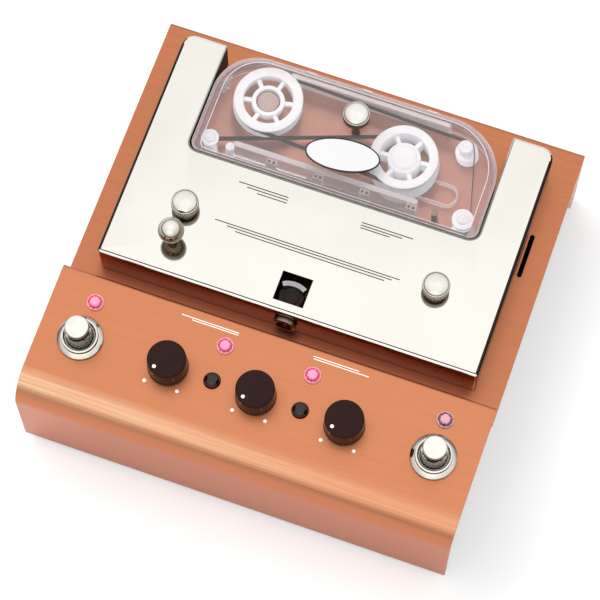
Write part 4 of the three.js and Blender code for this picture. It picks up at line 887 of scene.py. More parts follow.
# Faces in the bay and under the roof get painted shade; the walls and the outer edge of the rim get a painted
# reflection.
ROOF, BAY_SHADE, FRONT_WALL, SIDE_WALL = range(4)
for face in cover.data.polygons:
    (x, y, z), (right, back, up) = face.center / MM, face.normal
    in_bay = abs(x) < BAY_HALF + 1.5 and y > BAY_FRONT - 2
    if (z < COVER_TOP - 1.1 and up < -0.5) or (abs(up) < 0.2 and in_bay and z < COVER_TOP - 1):
        face.material_index = BAY_SHADE
    elif not in_bay and abs(right) > 0.5:
        face.material_index = SIDE_WALL
    elif back < -0.9 and y < COVER_FRONT + 1:
        face.material_index = FRONT_WALL
    elif 0.03 < math.hypot(right, back) < 0.45 and up > 0:
        outward = (abs(x) > 88 or y < COVER_FRONT + 4) and y < COVER_REAR - 6
        face.material_index = SIDE_WALL if outward else ROOF
print("cover faces", len(cover.data.polygons), "of them blackened",
      sum(face.material_index == BAY_SHADE for face in cover.data.polygons))

# %% [markdown]
# ## Screws and the release knob
# The thumbscrews have a smooth collar, a knurled grip and a low dome. A straight knurl is a ring of
# teeth, so every other pair of points in those rows is drawn in. The cartridge's screw has no collar:
# its grip stands on the lid.

# %% Thumbscrews
def dome(radius, z, height, steps=10):
    """The upper quarter of a dome, from its edge to the axis."""
    return [(radius * c, z + height * s) for s, c in quarter(steps)[:-1]] + [(0, z + height)]


def thumbscrew(name, place, body, node, collar, shank):
    """A knurled screw that stands on its collar or on its head."""
    base = [(0, -shank), (1.6, -shank), (1.8, -shank + 0.3), (1.8, 0)]
    if collar:
        base += [(5.1, 0), (5.3, 0.2), (5.3, collar - 0.1)]
    grip = [(6.05, collar), (6.45, collar + 0.45), (6.45, collar + 4.1), (6.25, collar + 4.5)]
    form = turned(base + grip + dome(6.0, collar + 4.6, 2.15), 144, teeth=36, bite=0.28,
                  toothed=(collar + 0.4, collar + 4.2))
    return piece(name, form, body, chrome, place, [node], crease=38)


LID_TOP = 66.5
for side, (x, y), turn_by in zip(("left", "right"), THUMB_SPOTS, (0, 3)):
    thumbscrew(f"thumbscrew_{side}", spot(x, y, COVER_TOP + 0.3, turn=turn_by), f"{side}_cover_screw",
               f"cover_thumbscrew_{side}", collar=2.6, shank=27.2)
thumbscrew("thumbscrew_cartridge", spot(*CARTRIDGE_SCREW, LID_TOP + 0.3), "cartridge_screw",
           "cartridge_thumbscrew", collar=0.0, shank=25.8)
print("thumbscrews made")

# %% [markdown]
# The release knob is a ball on a stem that comes up through the cover. The ball's profile is an arc
# from the stem's neck over the top. In the middle of the cover's front wall sits a screw with a
# dished head, which points forward.

# %% Release knob and front screw
BALL, BALL_HEIGHT, NECK = 6.1, 11.5, 2.2
STEPS = 24
neck_angle = math.asin(NECK / BALL)
BALL_MIDDLE = COVER_TOP + BALL_HEIGHT
ball = []
for k in range(STEPS + 1):
    angle = neck_angle + (math.pi - neck_angle) * k / STEPS
    ball.append((BALL * math.sin(angle) if k < STEPS else 0, BALL_MIDDLE - BALL * math.cos(angle)))
stem = [(0, 51.9), (2.3, 51.9), (2.5, 52.1), (2.5, 64.8), (4.2, 64.8), (4.2, 66.4), (2.5, 66.4),
        (2.5, COVER_TOP + 3.3), (NECK, COVER_TOP + 3.8)]
piece("release_knob", turned(stem + ball, 96), "release", chrome, spot(*RELEASE),
      ["release_button"])

dished = lathed([(0, -1.2, 0), (1.7, -1.2, 0.2), (1.7, 0.3, 0), (5.6, 0.3, 0.2), (5.6, 2.4, 0.5),
                 (4.5, 2.4, 0.3), (3.3, 1.1, 0.4), (2.3, 1.1, 0.3), (2.1, 0.8, 0), (0, 0.8, 0)])
# The screw's nickel is tinted dark, a painted reflection.
piece("front_dished_screw", dished, "case", reflection_tinted("screw_nickel", tone(156, 134, 120)),
      spot(0, COVER_FRONT, SCREW_HEIGHT) @ TO_FRONT, ["front_screw"])
print("release knob and front screw made")

# %% [markdown]
# ## The lock button
# Through the window one sees a round dark button with a bright crescent behind it. Sliding it forward
# moves the heads, so button, plate and crescent all ride on the lock.

# %% Lock button
LOCK_X, LOCK_Y, LOCK_RADIUS, LOCK_TOP = -0.8, 85.2, 6.3, 62.7
LOCK_FLOOR = DECK + 2.3
plate = rounded([(-11.2, LOCK_Y - LOCK_RADIUS, 1.6), (6.3, LOCK_Y - LOCK_RADIUS, 1.6),
                 (6.3, LOCK_Y + LOCK_RADIUS, 1.6), (-4.8, LOCK_Y + LOCK_RADIUS, 0), (-4.8, 114.4, 1.6),
                 (-11.2, 114.4, 1.6)])
guide = rounded([(-10.1, 100.2, 2), (-5.9, 100.2, 2), (-5.9, 106.8, 2), (-10.1, 106.8, 2)])
slide = together(carved(prism(plate, DECK + 0.3, LOCK_FLOOR), prism(guide, 46, 52)),
                 rod(-8, 111.2, 1.3, LOCK_FLOOR, 52.1, 24))
piece("lock_plate", slide, "lock", moulded, instead_of=["lock_slider"], edge=0.2)
button = lathed([(0, LOCK_FLOOR, 0), (LOCK_RADIUS, LOCK_FLOOR, 0), (LOCK_RADIUS, LOCK_TOP, 0.6),
                 (4.2, LOCK_TOP - 0.1, 1.2), (3.2, LOCK_TOP - 0.7, 1.5), (0, LOCK_TOP - 0.9, 0)], 5)
piece("lock_button", button, "lock", moulded, spot(LOCK_X, LOCK_Y), ["lock_slider"])
print("lock button made")

# %% Bright crescent
CRESCENT_OUTER, CRESCENT_INNER, CRESCENT_SPAN = 11.6, 9.0, 65.8
arc = []
for k in range(29):
    angle = math.radians(90 - CRESCENT_SPAN / 2 + CRESCENT_SPAN * k / 28)
    arc.append(Vector((math.cos(angle), math.sin(angle))))
band = [p * CRESCENT_OUTER for p in arc] + [p * CRESCENT_INNER for p in reversed(arc)]
piece("lock_crescent", prism(band, LOCK_TOP + 0.3, 66.3), "lock", finishes["steel"],
      spot(LOCK_X, LOCK_Y + LOCK_RADIUS - CRESCENT_OUTER), ["lock_band"], edge=0.5, loops=3)
print("lock made")

# %% [markdown]
# ## The cartridge
# The tray is skinned like the cover: from its floor up the inside, over a rounded lip and down the
# outside. Then the mouth for the heads is cut, and the holes for the capstan and the screw after it,
# because tools that overlap each other can make a Boolean give back nothing. The posts and bosses
# stand on the floor as pieces of their own, so that a slight overlap can't spoil the clear plastic.

# %% Tray outline
TRAY_LOW, TRAY_TOP, TRAY_WALL, TRAY_FLOOR = 47.8, 64.2, 1.5, 49.6
TRAY_HALF, TRAY_FRONT, TRAY_REAR = 70.6, 138.4, 193.7
LEFT_REEL, RIGHT_REEL = (-44.0, 175.5), (25.2, 169.0)
LIP = 0.6
ON_FLOOR = TRAY_FLOOR + 0.02


def tray_outline(inset):
    """The tray's outline, drawn in by an inset."""
    half, front, rear = TRAY_HALF - inset, TRAY_FRONT + inset, TRAY_REAR - inset
    return rounded([(-half, front, 4.5 - inset * 0.6), (half, front, 4.5 - inset * 0.6),
                    (half, rear, 28 - inset), (-half, rear, 22 - inset)], 14)


LIP_FOOT = TRAY_TOP - LIP
tray_rings = [level(tray_outline(TRAY_WALL), TRAY_FLOOR)]
tray_rings += [level(tray_outline(TRAY_WALL - LIP * (1 - c)), LIP_FOOT + LIP * s) for s, c in quarter(4)]
tray_rings += [level(tray_outline(LIP * (1 - s)), LIP_FOOT + LIP * c) for s, c in quarter(4)]
tray_rings += [level(tray_outline(0), TRAY_LOW + 0.5), level(tray_outline(0.5), TRAY_LOW)]
print("tray rings", len(tray_rings), "of", len(tray_rings[0]), "points")

# %% Tray
mouth = box(-53, 59, TRAY_FRONT - 1, TRAY_FRONT + 6.5, TRAY_LOW - 1, 59.8)
holes = together(rod(*CAPSTAN, 2.5, 40, 56), rod(*CARTRIDGE_SCREW, SCREW_HOLE, 40, 56))
clear_tray = piece("clear_tray", carved(carved(skin(tray_rings), mouth), holes), "cartridge",
                   clear, instead_of=["cartridge_tray"], edge=0.15, crease=30,
                   also=(veiled, pale_wall_clear, edge_highlight))
# The lip gets a painted highlight, and the upright faces are painted paler.
TRAY_LEVEL, TRAY_UPRIGHT, TRAY_LIP = 1, 2, 3
for face in clear_tray.data.polygons:
    if face.center.z > (LIP_FOOT - 0.02) * MM:
        face.material_index = TRAY_LIP
    else:
        face.material_index = TRAY_UPRIGHT if abs(face.normal.z) < 0.3 else TRAY_LEVEL
print("tray faces", len(clear_tray.data.polygons))

# %% [markdown]
# The lid is a plate with a soft edge that catches the light, so its edge gets a painted highlight. Along its
# outline runs a moulded border, a little duller than the lid, with a painted highlight line at its inner
# side. Both are thin frames that lie on the lid.

# %% Lid
lid_rings = [level(tray_outline(LIP * (1 - s)), TRAY_TOP + 0.9 - LIP * c) for s, c in quarter(3)]
lid_rings += [level(tray_outline(LIP * (1 - c)), LID_TOP - LIP + LIP * s) for s, c in quarter(3)]
lid_form = carved(skin(lid_rings), rod(*CARTRIDGE_SCREW, SCREW_HOLE, 60, 70))
clear_lid = piece("clear_lid", lid_form, "cartridge", clear, instead_of=["cartridge_lid"], edge=0.1,
                  crease=30, also=(edge_highlight,))
for face in clear_lid.data.polygons:
    face.material_index = int(abs(face.normal.z) < 0.8)


def lid_line(side, ahead, back):
    """The lid's outline, drawn in by its own amount at the sides, in front and behind."""
    half, front, rear = TRAY_HALF - side, TRAY_FRONT + ahead, TRAY_REAR - back
    return rounded([(-half, front, 3.6), (half, front, 3.6), (half, rear, 26.5 - side / 2),
                    (-half, rear, 20.5 - side / 2)], 14)


def border(name, outer, inner, thickness, finish_of):
    """A thin frame on the lid between two outlines."""
    low, high = LID_TOP + 0.01, LID_TOP + thickness
    rings = [level(outer, low), level(inner, low), level(inner, high), level(outer, high)]
    return piece(name, skin(rings, capped=False), "cartridge", finish_of)


border("lid_border", tray_outline(0.4), lid_line(4.2, 1.5, 2.1), 0.05, border_clear)
border("lid_inner_line", lid_line(4.2, 1.5, 2.1), lid_line(4.5, 1.75, 2.4), 0.08, edge_highlight)
print("lid made")

# %% [markdown]
# Where the tray's wall meets its floor, the plastic's inner corner shows as a bright line, painted as a
# highlight. It is a hair-thin frame on the floor that stops at the mouth, so the heads can pass. Three flat
# clips hold the lid along its rear edge.

# %% Foot highlight and clips
foot_rings = [level(tray_outline(depth), TRAY_FLOOR + height) for depth, height in (
    (1.7, 0.02), (2.0, 0.02), (2.0, 0.12), (1.7, 0.12))]
mouth_gap = box(6 - TRAY_HALF, TRAY_HALF - 6, TRAY_FRONT - 1, TRAY_FRONT + 6, TRAY_FLOOR - 1,
                TRAY_FLOOR + 1)
piece("tray_foot_line", carved(skin(foot_rings, capped=False), mouth_gap), "cartridge", edge_highlight)
CLIP_X, CLIP_HALF = (-29, -1, 31.5), 2.6
clips = [box(x - CLIP_HALF, x + CLIP_HALF, TRAY_REAR - 1.2, TRAY_REAR - 0.1, LID_TOP + 0.02, LID_TOP + 0.5)
         for x in CLIP_X]
piece("rear_clips", together(*clips), "cartridge", hazy_clear, edge=0.1)
print("foot line and clips made")

# %% [markdown]
# A clear boss with a low dome carries the left reel, with a dusky ring of painted shade round its top, and
# thin clear pins carry the right reel and the rollers. Two pairs of round ribs stiffen the rear corners, and
# beside the right reel a flat rib follows its edge.

# %% Bosses and pins
BOSS_TOP = 58.0
boss_glass = clear_finish("boss_plastic", tone(252, 236, 232), 0.05, tone(246, 240, 238), 0.74, 0.05)
# The boss's dusky ring is painted shade.
shadow_ring = ink("boss_shadow_ring", tone(128, 92, 90), tone(146, 108, 104), 0.3)
boss = turned([(0, ON_FLOOR), (5.3, ON_FLOOR), (5.3, BOSS_TOP), (4.9, 58.3), (4.2, 58.3), (4.1, 58.1)]
              + dome(4.0, 58.15, 1.3))
piece("left_boss", boss, "cartridge", boss_glass, spot(*LEFT_REEL), crease=25)
boss_ring = turned([(4.85, 58.32), (5.3, 58.32), (5.3, 58.42), (4.85, 58.42)], hoop=True)
piece("left_boss_ring", boss_ring, "cartridge", shadow_ring, spot(*LEFT_REEL))
ROLLERS = {"front_left": (-63.4, 148.5, 2.7, 4.2), "front_right": (60.9, 148.5, 2.7, 5.1),
           "rear_right": (51.0, 183.0, 3.4, 5.3)}
pins = [rod(*RIGHT_REEL, 2.2, ON_FLOOR, BOSS_TOP)]
pins += [rod(x, y, 1.1, ON_FLOOR, 61, 24) for x, y, _, _ in ROLLERS.values()]
piece("reel_posts", together(*pins), "cartridge", clear, crease=40)
corner_ribs = [rod(x, y, radius, ON_FLOOR, 64, 32) for x, y, radius in (
    (-66.0, 177.6, 1.3), (-64.3, 179.4, 0.8), (63.6, 182.6, 1.3), (65.2, 180.9, 0.8))]
piece("corner_ribs", together(*corner_ribs), "cartridge", hazy_clear, crease=40)
print("bosses and pins made")

# %% Flat rib
def rib_outline(inset):
    """A long U that opens toward the right reel, drawn in by an inset."""
    front, right, rear, bend = 156.2 + inset, 53.9 - inset, 167.0 - inset, 5.4 - inset
    return rounded([(34, front, 0), (right, front, bend), (right, rear, bend), (34, rear, 0)], 12,
                   closed=False)


rib = prism(rib_outline(0) + rib_outline(1)[::-1], ON_FLOOR, TRAY_FLOOR + 2)
piece("floor_rib", carved(rib, rod(*RIGHT_REEL, 16.7, 40, 60, 72)), "cartridge", hazy_clear,
      edge=0.15)
print("flat rib made")

# %% [markdown]
# Along the rear wall runs a frosted strip that scatters light. Seen through the lid it is a pale band behind
# the tape. It is a matte plastic mixed with see-through, in a share that streaks along it, with a little glow
# that is painted light.

# %% Frosted strip
frost, tree, shader = finish("frosted_strip", tone(250, 246, 246), 0.45,
                             Emission_Color=tone(250, 246, 246), Emission_Strength=0.1)
haze = grain(tree, (60, 700, 60))
see_through = add_node(tree, "ShaderNodeBsdfTransparent", {"Color": tone(240, 228, 224)})
veil = add_node(tree, "ShaderNodeMixShader", {
    0: spread(tree, haze, 0.2, 0.4), 1: shader.outputs["BSDF"], 2: see_through.outputs["BSDF"]})
tree.links.new(veil.outputs["Shader"], tree.nodes["Material Output"].inputs["Surface"])
feed(tree, shader, Roughness=spread(tree, haze, 0.35, 0.55))
piece("frosted_strip", box(-38, 41, 189.8, 191.8, TRAY_FLOOR + 0.1, 61.5), "cartridge", frost,
      edge=0.4)
print("strip made")

# %% [markdown]
# The badge lies flat on the lid: a plain white oval plate, turned a little, in a thin dark rim.

# %% Badge
def oval(half_width, half_depth, steps=72):
    """Points of an ellipse, anticlockwise."""
    return [Vector((half_width * math.cos(math.tau * k / steps), half_depth * math.sin(math.tau * k / steps)))
            for k in range(steps)]


badge_place = spot(-1.2, 158, turn=8.5)
piece("badge_plate", prism(oval(17.4, 8.0), LID_TOP + 0.3, LID_TOP + 0.78), "cartridge",
      finishes["badge"], badge_place, ["cartridge_badge"], edge=0.12)
rim_low, rim_high = LID_TOP + 0.28, LID_TOP + 0.8
badge_rim = skin([level(oval(*axes), z) for axes, z in (
    ((17.1, 7.7), rim_low), ((17.8, 8.4), rim_low), ((17.8, 8.4), rim_high), ((17.1, 7.7), rim_high))],
    capped=False)
piece("badge_rim", badge_rim, "cartridge", black_ink, badge_place)
print("badge made")

# %% [markdown]
# ## The pad bar
# A hazy clear bar behind the mouth presses four pads toward the heads. Its left end is a milky round
# head, and each pad shows two small tufts of dark felt.

# %% Pad bar
BAR_TOP = 59.5


def bar_outline(left, right, front, rear, left_round, right_round):
    """The bar from above, more rounded at its left end."""
    return rounded([(left, front, left_round), (right, front, right_round), (right, rear, right_round),
                    (left, rear, left_round)])


bar = prism(bar_outline(-52.5, 38.6, 148.7, 151.7, 1.45, 1.2), TRAY_FLOOR + 0.3, BAR_TOP)
bar_face = prism(bar_outline(-51.8, 38.2, 149.0, 151.4, 1.0, 0.8), BAR_TOP + 0.02, BAR_TOP + 0.12)
rail_end = turned([(0, TRAY_FLOOR + 0.3), (2.1, TRAY_FLOOR + 0.3), (2.1, 59.2)] + dome(2.05, 59.25, 0.4), 40)
piece("pad_rail", bar, "cartridge", hazy_clear, instead_of=["pad_bar"], edge=0.3)
piece("pad_rail_top", bar_face, "cartridge", hazy_clear)
piece("pad_rail_end", shifted(rail_end, -53.2, 148), "cartridge", milky)
print("pad bar made")

# %% Pads
PAD_X = (-32.2, -9.4, 13.4, 36.2)
pad_felt, tree, shader = finish("pad_felt", tone(92, 76, 70), 0.9, 0.0, Specular_IOR_Level=0.2)
hairs = grain(tree, (1800, 1800, 500), 4.0)
feed(tree, shader, Base_Color=between(tree, hairs, tone(70, 56, 52), tone(120, 104, 96)))
relief(tree, shader, hairs, 0.05, 0.8)
for number, x in enumerate(PAD_X, 1):
    piece(f"pad_{number}", box(x - 2.5, x + 2.5, 145.8, 148.6, TRAY_FLOOR + 0.6, 59.3), "cartridge",
          hazy_clear, edge=0.3)
    tufts = [box(x + dx - 0.55, x + dx + 0.55, 146.4, 147.6, 59.32, BAR_TOP) for dx in (-1.1, 1.1)]
    piece(f"pad_face_{number}", together(*tufts), "cartridge", pad_felt, edge=0.1)
print("pads", len(PAD_X))

# %% [markdown]
# ## Reels
# A reel is one moulding: a rim with a groove for the tape, six spokes and a hub ring. The rim and hub
# are turned as closed hoops and the spokes are blocks whose ends sink into both. The right reel's hub
# is closed with a low cap.

# %% Reels
REEL_INNER, RIM, HUB, BORE, REEL_TOP = 11.8, 0.9, 7.75, 5.75, 61.0
SPOKES, SPOKE_HALF = 6, 0.95


def hoop(corners):
    """A ring turned from a closed outline of (radius, height, rounding)."""
    return lathed(corners, 3, 96, hoop=True)


def reel(name, where, bottom, flange, channel, body, node, turn_by, closed_hub):
    """A white reel whose tape groove has the channel's radius."""
    rim = hoop([(REEL_INNER, bottom, 0.2), (flange, bottom, 0.3), (flange, bottom + RIM, 0.3),
                (channel, bottom + RIM, 0), (channel, REEL_TOP - RIM, 0), (flange, REEL_TOP - RIM, 0.3),
                (flange, REEL_TOP, 0.45), (REEL_INNER, REEL_TOP, 0.45)])
    low = bottom + 0.8
    hub = hoop([(BORE, low, 0.2), (HUB, low, 0.2), (HUB, 59.9, 0.4), (BORE, 59.9, 0.4)])
    forms = [rim, hub]
    for k in range(SPOKES):
        arm = box(HUB - 0.4, REEL_INNER + 0.3, -SPOKE_HALF, SPOKE_HALF, bottom + 1.6, 59.0)
        forms.append(shifted(arm, turn=Matrix.Rotation(math.tau / SPOKES * k, 4, "Z")))
    if closed_hub:
        cap = [(0, 58.4), (BORE + 0.3, 58.4), (BORE + 0.9, 59.6), (BORE + 0.7, 60.0)]
        forms.append(turned(cap + dome(BORE + 0.2, 60.1, 0.9)))
    return piece(name, together(*forms), body, white, spot(*where, turn=turn_by), [node],
                 edge=0.12, crease=36)


reel("supply_reel", LEFT_REEL, 55.0, 16.4, 14.3, "left_reel", "reel_left", 12, False)
reel("takeup_reel", RIGHT_REEL, 49.9, 16.1, 13.3, "right_reel", "reel_right", 4, True)
print("reels made")

# %% [markdown]
# The rollers are milky bobbins, turned from one profile: a disc below, a core, a disc above and a
# dished top with a stub. Behind, the tape runs high, so the rear roller's second disc sits halfway up,
# under the tape.

# %% Rollers
ROLLER_LOW, DISC = 49.9, 0.45
for where, (x, y, core, disc) in ROLLERS.items():
    foot = [(0, 61.2, 0), (1.4, 61.2, 0), (1.4, ROLLER_LOW, 0), (disc, ROLLER_LOW, 0.15),
            (disc, ROLLER_LOW + DISC, 0.15), (core, ROLLER_LOW + DISC, 0)]
    upper = [(core, 60.1, 0), (disc, 60.1, 0.2), (disc, 61.0, 0.3), (core + 0.6, 61.0, 0.1),
             (core + 0.5, 60.8, 0.1), (core, 60.8, 0.1)]
    if where == "rear_right":
        upper = [(core, 54.85, 0), (disc, 54.85, 0.1), (disc, 55.3, 0.15), (core, 55.3, 0)]
    top = [(core, 61.9, 0.5), (1.9, 61.9, 0.2), (1.7, 61.6, 0.1), (1.2, 61.6, 0.1), (1.0, 61.85, 0.1),
           (0, 61.85, 0)]
    piece(f"roller_{where}", lathed(foot + upper + top), f"{where}_guide", milky, spot(x, y),
          [f"guide_{where}"])
print("rollers made")

# %% [markdown]
# ## The tape loop
# The tape passes the rollers and both reels anticlockwise. Each pass is an arc round a wheel, and the
# straight runs join them by the outer tangents. It runs low past the heads and high behind: it climbs
# on the way to the rear roller and comes down round the right reel, so every point of the path has its
# own level.

# %% Tape path
LOW_RUN, HIGH_RUN = 52.9, 58.0
WHEELS = [(*ROLLERS["front_left"][:2], 3.15, LOW_RUN, LOW_RUN),
          (*ROLLERS["front_right"][:2], 3.15, LOW_RUN, LOW_RUN),
          (*ROLLERS["rear_right"][:2], 3.85, HIGH_RUN, HIGH_RUN),
          (*LEFT_REEL, 14.75, HIGH_RUN, HIGH_RUN), (*RIGHT_REEL, 13.75, HIGH_RUN, LOW_RUN)]


def tangent_direction(first, second):
    """The angle of the normal of the outer tangent that leaves one wheel for the next."""
    run = Vector(second[:2]) - Vector(first[:2])
    tilt = math.asin(max(-1, min(1, (first[2] - second[2]) / run.length)))
    return math.atan2(run.y, run.x) - math.pi / 2 + tilt


normals = [tangent_direction(wheel, WHEELS[(i + 1) % len(WHEELS)]) for i, wheel in enumerate(WHEELS)]
tape_path = []
for i, (x, y, radius, arrives, leaves) in enumerate(WHEELS):
    start, end = normals[i - 1], normals[i]
    while end < start:
        end += math.tau
    count = max(6, int((end - start) / math.radians(5)))
    for k in range(count + 1):
        angle = start + (end - start) * k / count
        tape_path.append((Vector((x, y)), angle, radius, arrives + (leaves - arrives) * k / count))
print("tape path points", len(tape_path))

# %% Tape
TAPE_WIDTH, TAPE_THICK = 3.8, 0.3
sections = []
for centre, angle, radius, z in tape_path:
    outward = Vector((math.cos(angle), math.sin(angle)))
    section = []
    for side, lift in ((-1, -1), (1, -1), (1, 1), (-1, 1)):
        point = centre + outward * (radius + side * TAPE_THICK / 2)
        section.append(Vector((point.x, point.y, z + lift * TAPE_WIDTH / 2)))
    sections.append(section)
piece("tape_band", skin(sections, capped=False), "cartridge", oxide, instead_of=["tape_loop"])
print("tape made")

# %% [markdown]
# ## Controls
# The knobs are plain dark cylinders with a slightly wider foot, a rounded top edge and a white dot
# near the rim. Each turns on the shaft of its pot, so cap, shaft and dot are on one body. The panel has
# one small dot on each side of a knob, at the ends of its travel. The push buttons beside them are
# flat domes.

# %% Knobs and buttons
SIDES, THREE = ("left", "right"), ("left", "centre", "right")
for side, x in zip(THREE, KNOB_X):
    cap = lathed([(0, -9, 0), (2.9, -9, 0.3), (2.9, 3.4, 0), (6.4, 3.4, 0.2), (6.4, 0.7, 0.2),
                  (9.5, 0.7, 0.35), (9.4, 2.2, 0.2), (9.2, 2.5, 0.15), (8.95, 12.1, 0.9), (0, 12.2, 0)],
                 6, 96)
    piece(f"{side}_cap", cap, f"{side}_knob", knob_dark, spot(x, KNOB_Y, ground=PANEL),
          [f"knob_{side}"])
for side, x in zip(SIDES, BUTTON_X):
    base = [(0, -2.8), (5.2, -2.8), (5.2, -1.8), (3.6, -1.8), (3.6, 0.9)]
    cap = [(3.6 * c ** 0.8, 0.9 + 2.5 * s) for s, c in quarter(10)[1:-1]] + [(0, 3.4)]
    piece(f"{side}_push_button", turned(base + cap, 64), f"{side}_button", gloss_dark,
          spot(x, BUTTON_Y, ground=PANEL), [f"button_{side}"])
print("knobs and buttons made")

# %% [markdown]
# A footswitch has a threaded bush held by a dress nut. The nut's face slopes down to a round flange, and
# the plunger wears a smooth cap. The thread shows in the gap between nut and cap as a few grooves.

# %% Footswitches
BUSH, PLUNGER = 6.1, 4.4
for side, x in zip(SIDES, SWITCH_X):
    place = spot(x, SWITCH_Y, ground=PANEL)
    nut = hoop([(6.4, 0.3, 0.1), (10.7, 0.3, 0.25), (10.7, 1.2, 0.4), (8.9, 2.5, 0.3), (8.6, 2.6, 0.15),
                (8.5, 4.4, 0.3), (7.6, 4.6, 0.3), (7.3, 4.3, 0.2), (7.1, 3.2, 0.2), (6.4, 3.0, 0.1)])
    piece(f"{side}_dress_nut", nut, "case", chrome, place, [f"footswitch_nut_{side}"])
    grooves = [(5.8, -2.6, 0.1)]
    for z in (6.2, 8.0, 9.8, 11.6):
        grooves += [(BUSH, z, 0.15), (5.75, z + 0.25, 0.1), (BUSH, z + 0.5, 0.15)]
    bush = hoop([(4.6, 12.6, 0.1), (4.6, -2.6, 0.1), *grooves, (6.0, 12.6, 0.2)])
    piece(f"{side}_bush", bush, "case", chrome, place)
    cap = rounded([(0, -3.3, 0), (PLUNGER, -3.3, 0.2), (PLUNGER, 15.3, 0.2), (5.5, 15.3, 0.2),
                   (5.5, 17.7, 0.7), (0, 17.7, 0)], closed=False)
    straight = [(PLUNGER if abs(p.x - PLUNGER) < 0.05 else p.x, p.y) for p in cap]
    piece(f"{side}_foot_cap", turned(straight), f"{side}_footswitch", chrome, place,
          [f"footswitch_cap_{side}"])
print("footswitches made")

# %% [markdown]
# A lamp is a lens in a thin bezel. The bezel is pink as well: it takes its colour from the lens that
# shines through it. The fourth lamp is off.

# %% Lamps
for number, x in enumerate(LAMP_X, 1):
    lens = [(0, -8), (2.9, -8), (2.9, 0.3), (LENS_RADIUS, 0.3), (LENS_RADIUS, 0.8), (3.75, 1.1), (3.25, 1.1),
            (3.1, 1.2), (3.1, 1.4)] + dome(3.05, 1.42, 1.08, 12)
    piece(f"lamp_lens_{number}", turned(lens), "case", dim_lens if number == 4 else lit_lens,
          spot(x, LAMP_Y, ground=PANEL), [f"led_{number}"], crease=40)
print("lamps made")

# %% [markdown]
# ## Printed lines and dots
# Groups of thin rules are printed on the cover in black and on the panel in white. They are cut from
# flat strips a few hundredths of a millimetre thick that lie just above the surface. The white dots on
# the panel and on the knobs are made the same way.

# %% Printed strips
PRINT, ON_PANEL, ON_KNOB, DOT = 0.03, 0.01, 12.19, 0.85
TRAVEL_MARK, TRAVEL_MARK_Y, POINTER_REACH = 7.9, 25.2, 6.6
COVER_RULES = ((-42.1, -17.7, 129.0), (-37.6, -17.5, 127.6), (-32.1, -17.5, 126.1), (18.4, 43.3, 128.7),
               (18.3, 38.5, 127.3), (18.5, 32.8, 126.0), (-46.1, 43.9, 107.6), (-39.9, 40.6, 106.3),
               (-35.3, 37.3, 104.9))
PANEL_RULES = ((-45.1, -17.3, 60.4), (-39.8, -17.3, 59.4), (18.5, 40.4, 61.3), (18.8, 45.4, 60.2))


def strip(x0, x1, y, width, z):
    """A printed rule between two points."""
    return box(x0, x1, y - width / 2, y + width / 2, z, z + PRINT)


def dot(x, y, z):
    """A printed dot."""
    return rod(x, y, DOT, z, z + PRINT, 24)


rules = [strip(*rule, 0.45, COVER_TOP + 0.01) for rule in COVER_RULES]
piece("cover_rules", together(*rules), "case", black_ink)
marks = [strip(*rule, 0.4, ON_PANEL) for rule in PANEL_RULES]
marks += [dot(x + way * TRAVEL_MARK, TRAVEL_MARK_Y, ON_PANEL) for x in KNOB_X for way in (-1, 1)]
piece("panel_rules", together(*marks), "case", white_ink, PANEL)
for side, x, degrees in zip(THREE, KNOB_X, (-128, -126, -128)):
    angle = math.radians(degrees)
    pointer = dot(POINTER_REACH * math.cos(angle), POINTER_REACH * math.sin(angle), ON_KNOB)
    piece(f"{side}_pointer", pointer, f"{side}_knob", white_ink,
          spot(x, KNOB_Y, ground=PANEL))
print("prints made")

# %% [markdown]
# ## Feet and sockets
# Four round rubber feet stand under the base pan. Each is a short cone with a ring-shaped groove in
# its sole.

# %% Feet
for side, x in zip(SIDES, (-88.0, 88.0)):
    for end, y in (("front", 19.0), ("rear", 186.0)):
        foot = lathed([(0, -4, 0), (2.2, -4, 0.3), (2.6, -2.6, 0.3), (4.2, -2.6, 0.3), (4.6, -4, 0.3),
                       (7.4, -4, 0.6), (8, -0.3, 0.2), (0, -0.3, 0)], steps=64)
        piece(f"rubber_foot_{end}_{side}", foot, "case", rubber, spot(x, y), [f"foot_{end}_{side}"])
print("feet made")

# %% [markdown]
# The jacks on the rear wall are threaded bushes with a washer and a hex nut, whose corners are turned
# off on the outer side as on a bought nut. The power inlet has a round flange with a pin in the middle.

# %% Hex nut and places on the rear wall
def to_the_rear(x):
    """A place on the rear wall at the sockets' height, whose Z points outward."""
    return spot(x, DEPTH, SOCKET_HEIGHT) @ TO_REAR


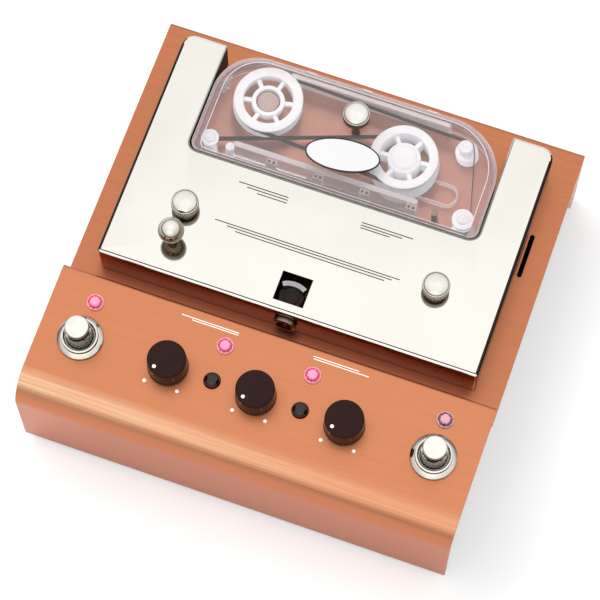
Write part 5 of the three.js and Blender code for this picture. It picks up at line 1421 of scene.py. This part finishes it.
def hexagon(across, low, high):
    """A nut's outline, where across is from its axis to a flat."""
    rings = []
    for z, trim in ((low, 0.0), (high - 0.4, 0.0), (high, 0.4)):
        ring = []
        for k in range(72):
            angle = math.tau * k / 72
            flat = across / math.cos((angle % (math.pi / 3)) - math.pi / 6)
            reach, way = min(flat, across * 1.13 - trim), angle + math.pi / 6
            ring.append(Vector((reach * math.cos(way), reach * math.sin(way), z)))
        rings.append(ring)
    return skin(rings)


print("the input jack is at", to_the_rear(INPUT_X).translation)

# %% Rear sockets
JACK_DEPTH, INLET_DEPTH, THREAD = 27.7, 15.8, 5.2
for name, x in (("input", INPUT_X), ("output", OUTPUT_X)):
    shell = [(7.3, -JACK_DEPTH, 0.4), (7.3, -1.8, 0.4), (THREAD, -1.8, 0.1)]
    for z in (0.4, 0.9, 1.4, 1.9):
        shell += [(THREAD, z - 0.05, 0), (THREAD - 0.15, z + 0.2, 0)]
    shell += [(5.0, 2.5, 0.2), (3.9, 2.5, 0.2), (3.3, 1.9, 0.2), (3.3, -JACK_DEPTH, 0.2)]
    piece(f"{name}_jack", lathed(shell, 3, hoop=True), "case", finishes["steel"], to_the_rear(x),
          [f"jack_{name}"])
    nut = carved(hexagon(6.6, 0.9, 2.2), rod(0, 0, 5.25, 0, 4, 72))
    washer = turned([(5.3, 0.3), (7.4, 0.3), (7.4, 0.7), (7.2, 0.85), (5.3, 0.85)], hoop=True)
    piece(f"{name}_hex_nut", nut, "case", chrome, to_the_rear(x), crease=25)
    piece(f"{name}_washer", washer, "case", finishes["steel"], to_the_rear(x))

barrel = lathed([(5.6, -INLET_DEPTH, 0.3), (5.6, 0.3, 0), (7.0, 0.3, 0.2), (7.0, 2.0, 0.6), (4.2, 2.0, 0.2),
                 (3.6, 1.5, 0.2), (3.0, 1.3, 0.2), (3.0, -INLET_DEPTH, 0.2)], hoop=True)
piece("power_barrel", barrel, "case", rubber, to_the_rear(POWER_X), ["power_inlet"])
pin = lathed([(0, -INLET_DEPTH, 0), (1.0, -INLET_DEPTH, 0.1), (1.0, -3.2, 0.5), (0, -3.2, 0)], steps=32)
piece("power_pin", pin, "case", chrome, to_the_rear(POWER_X))
print("rear sockets made,", len(made_pieces), "pieces in all")
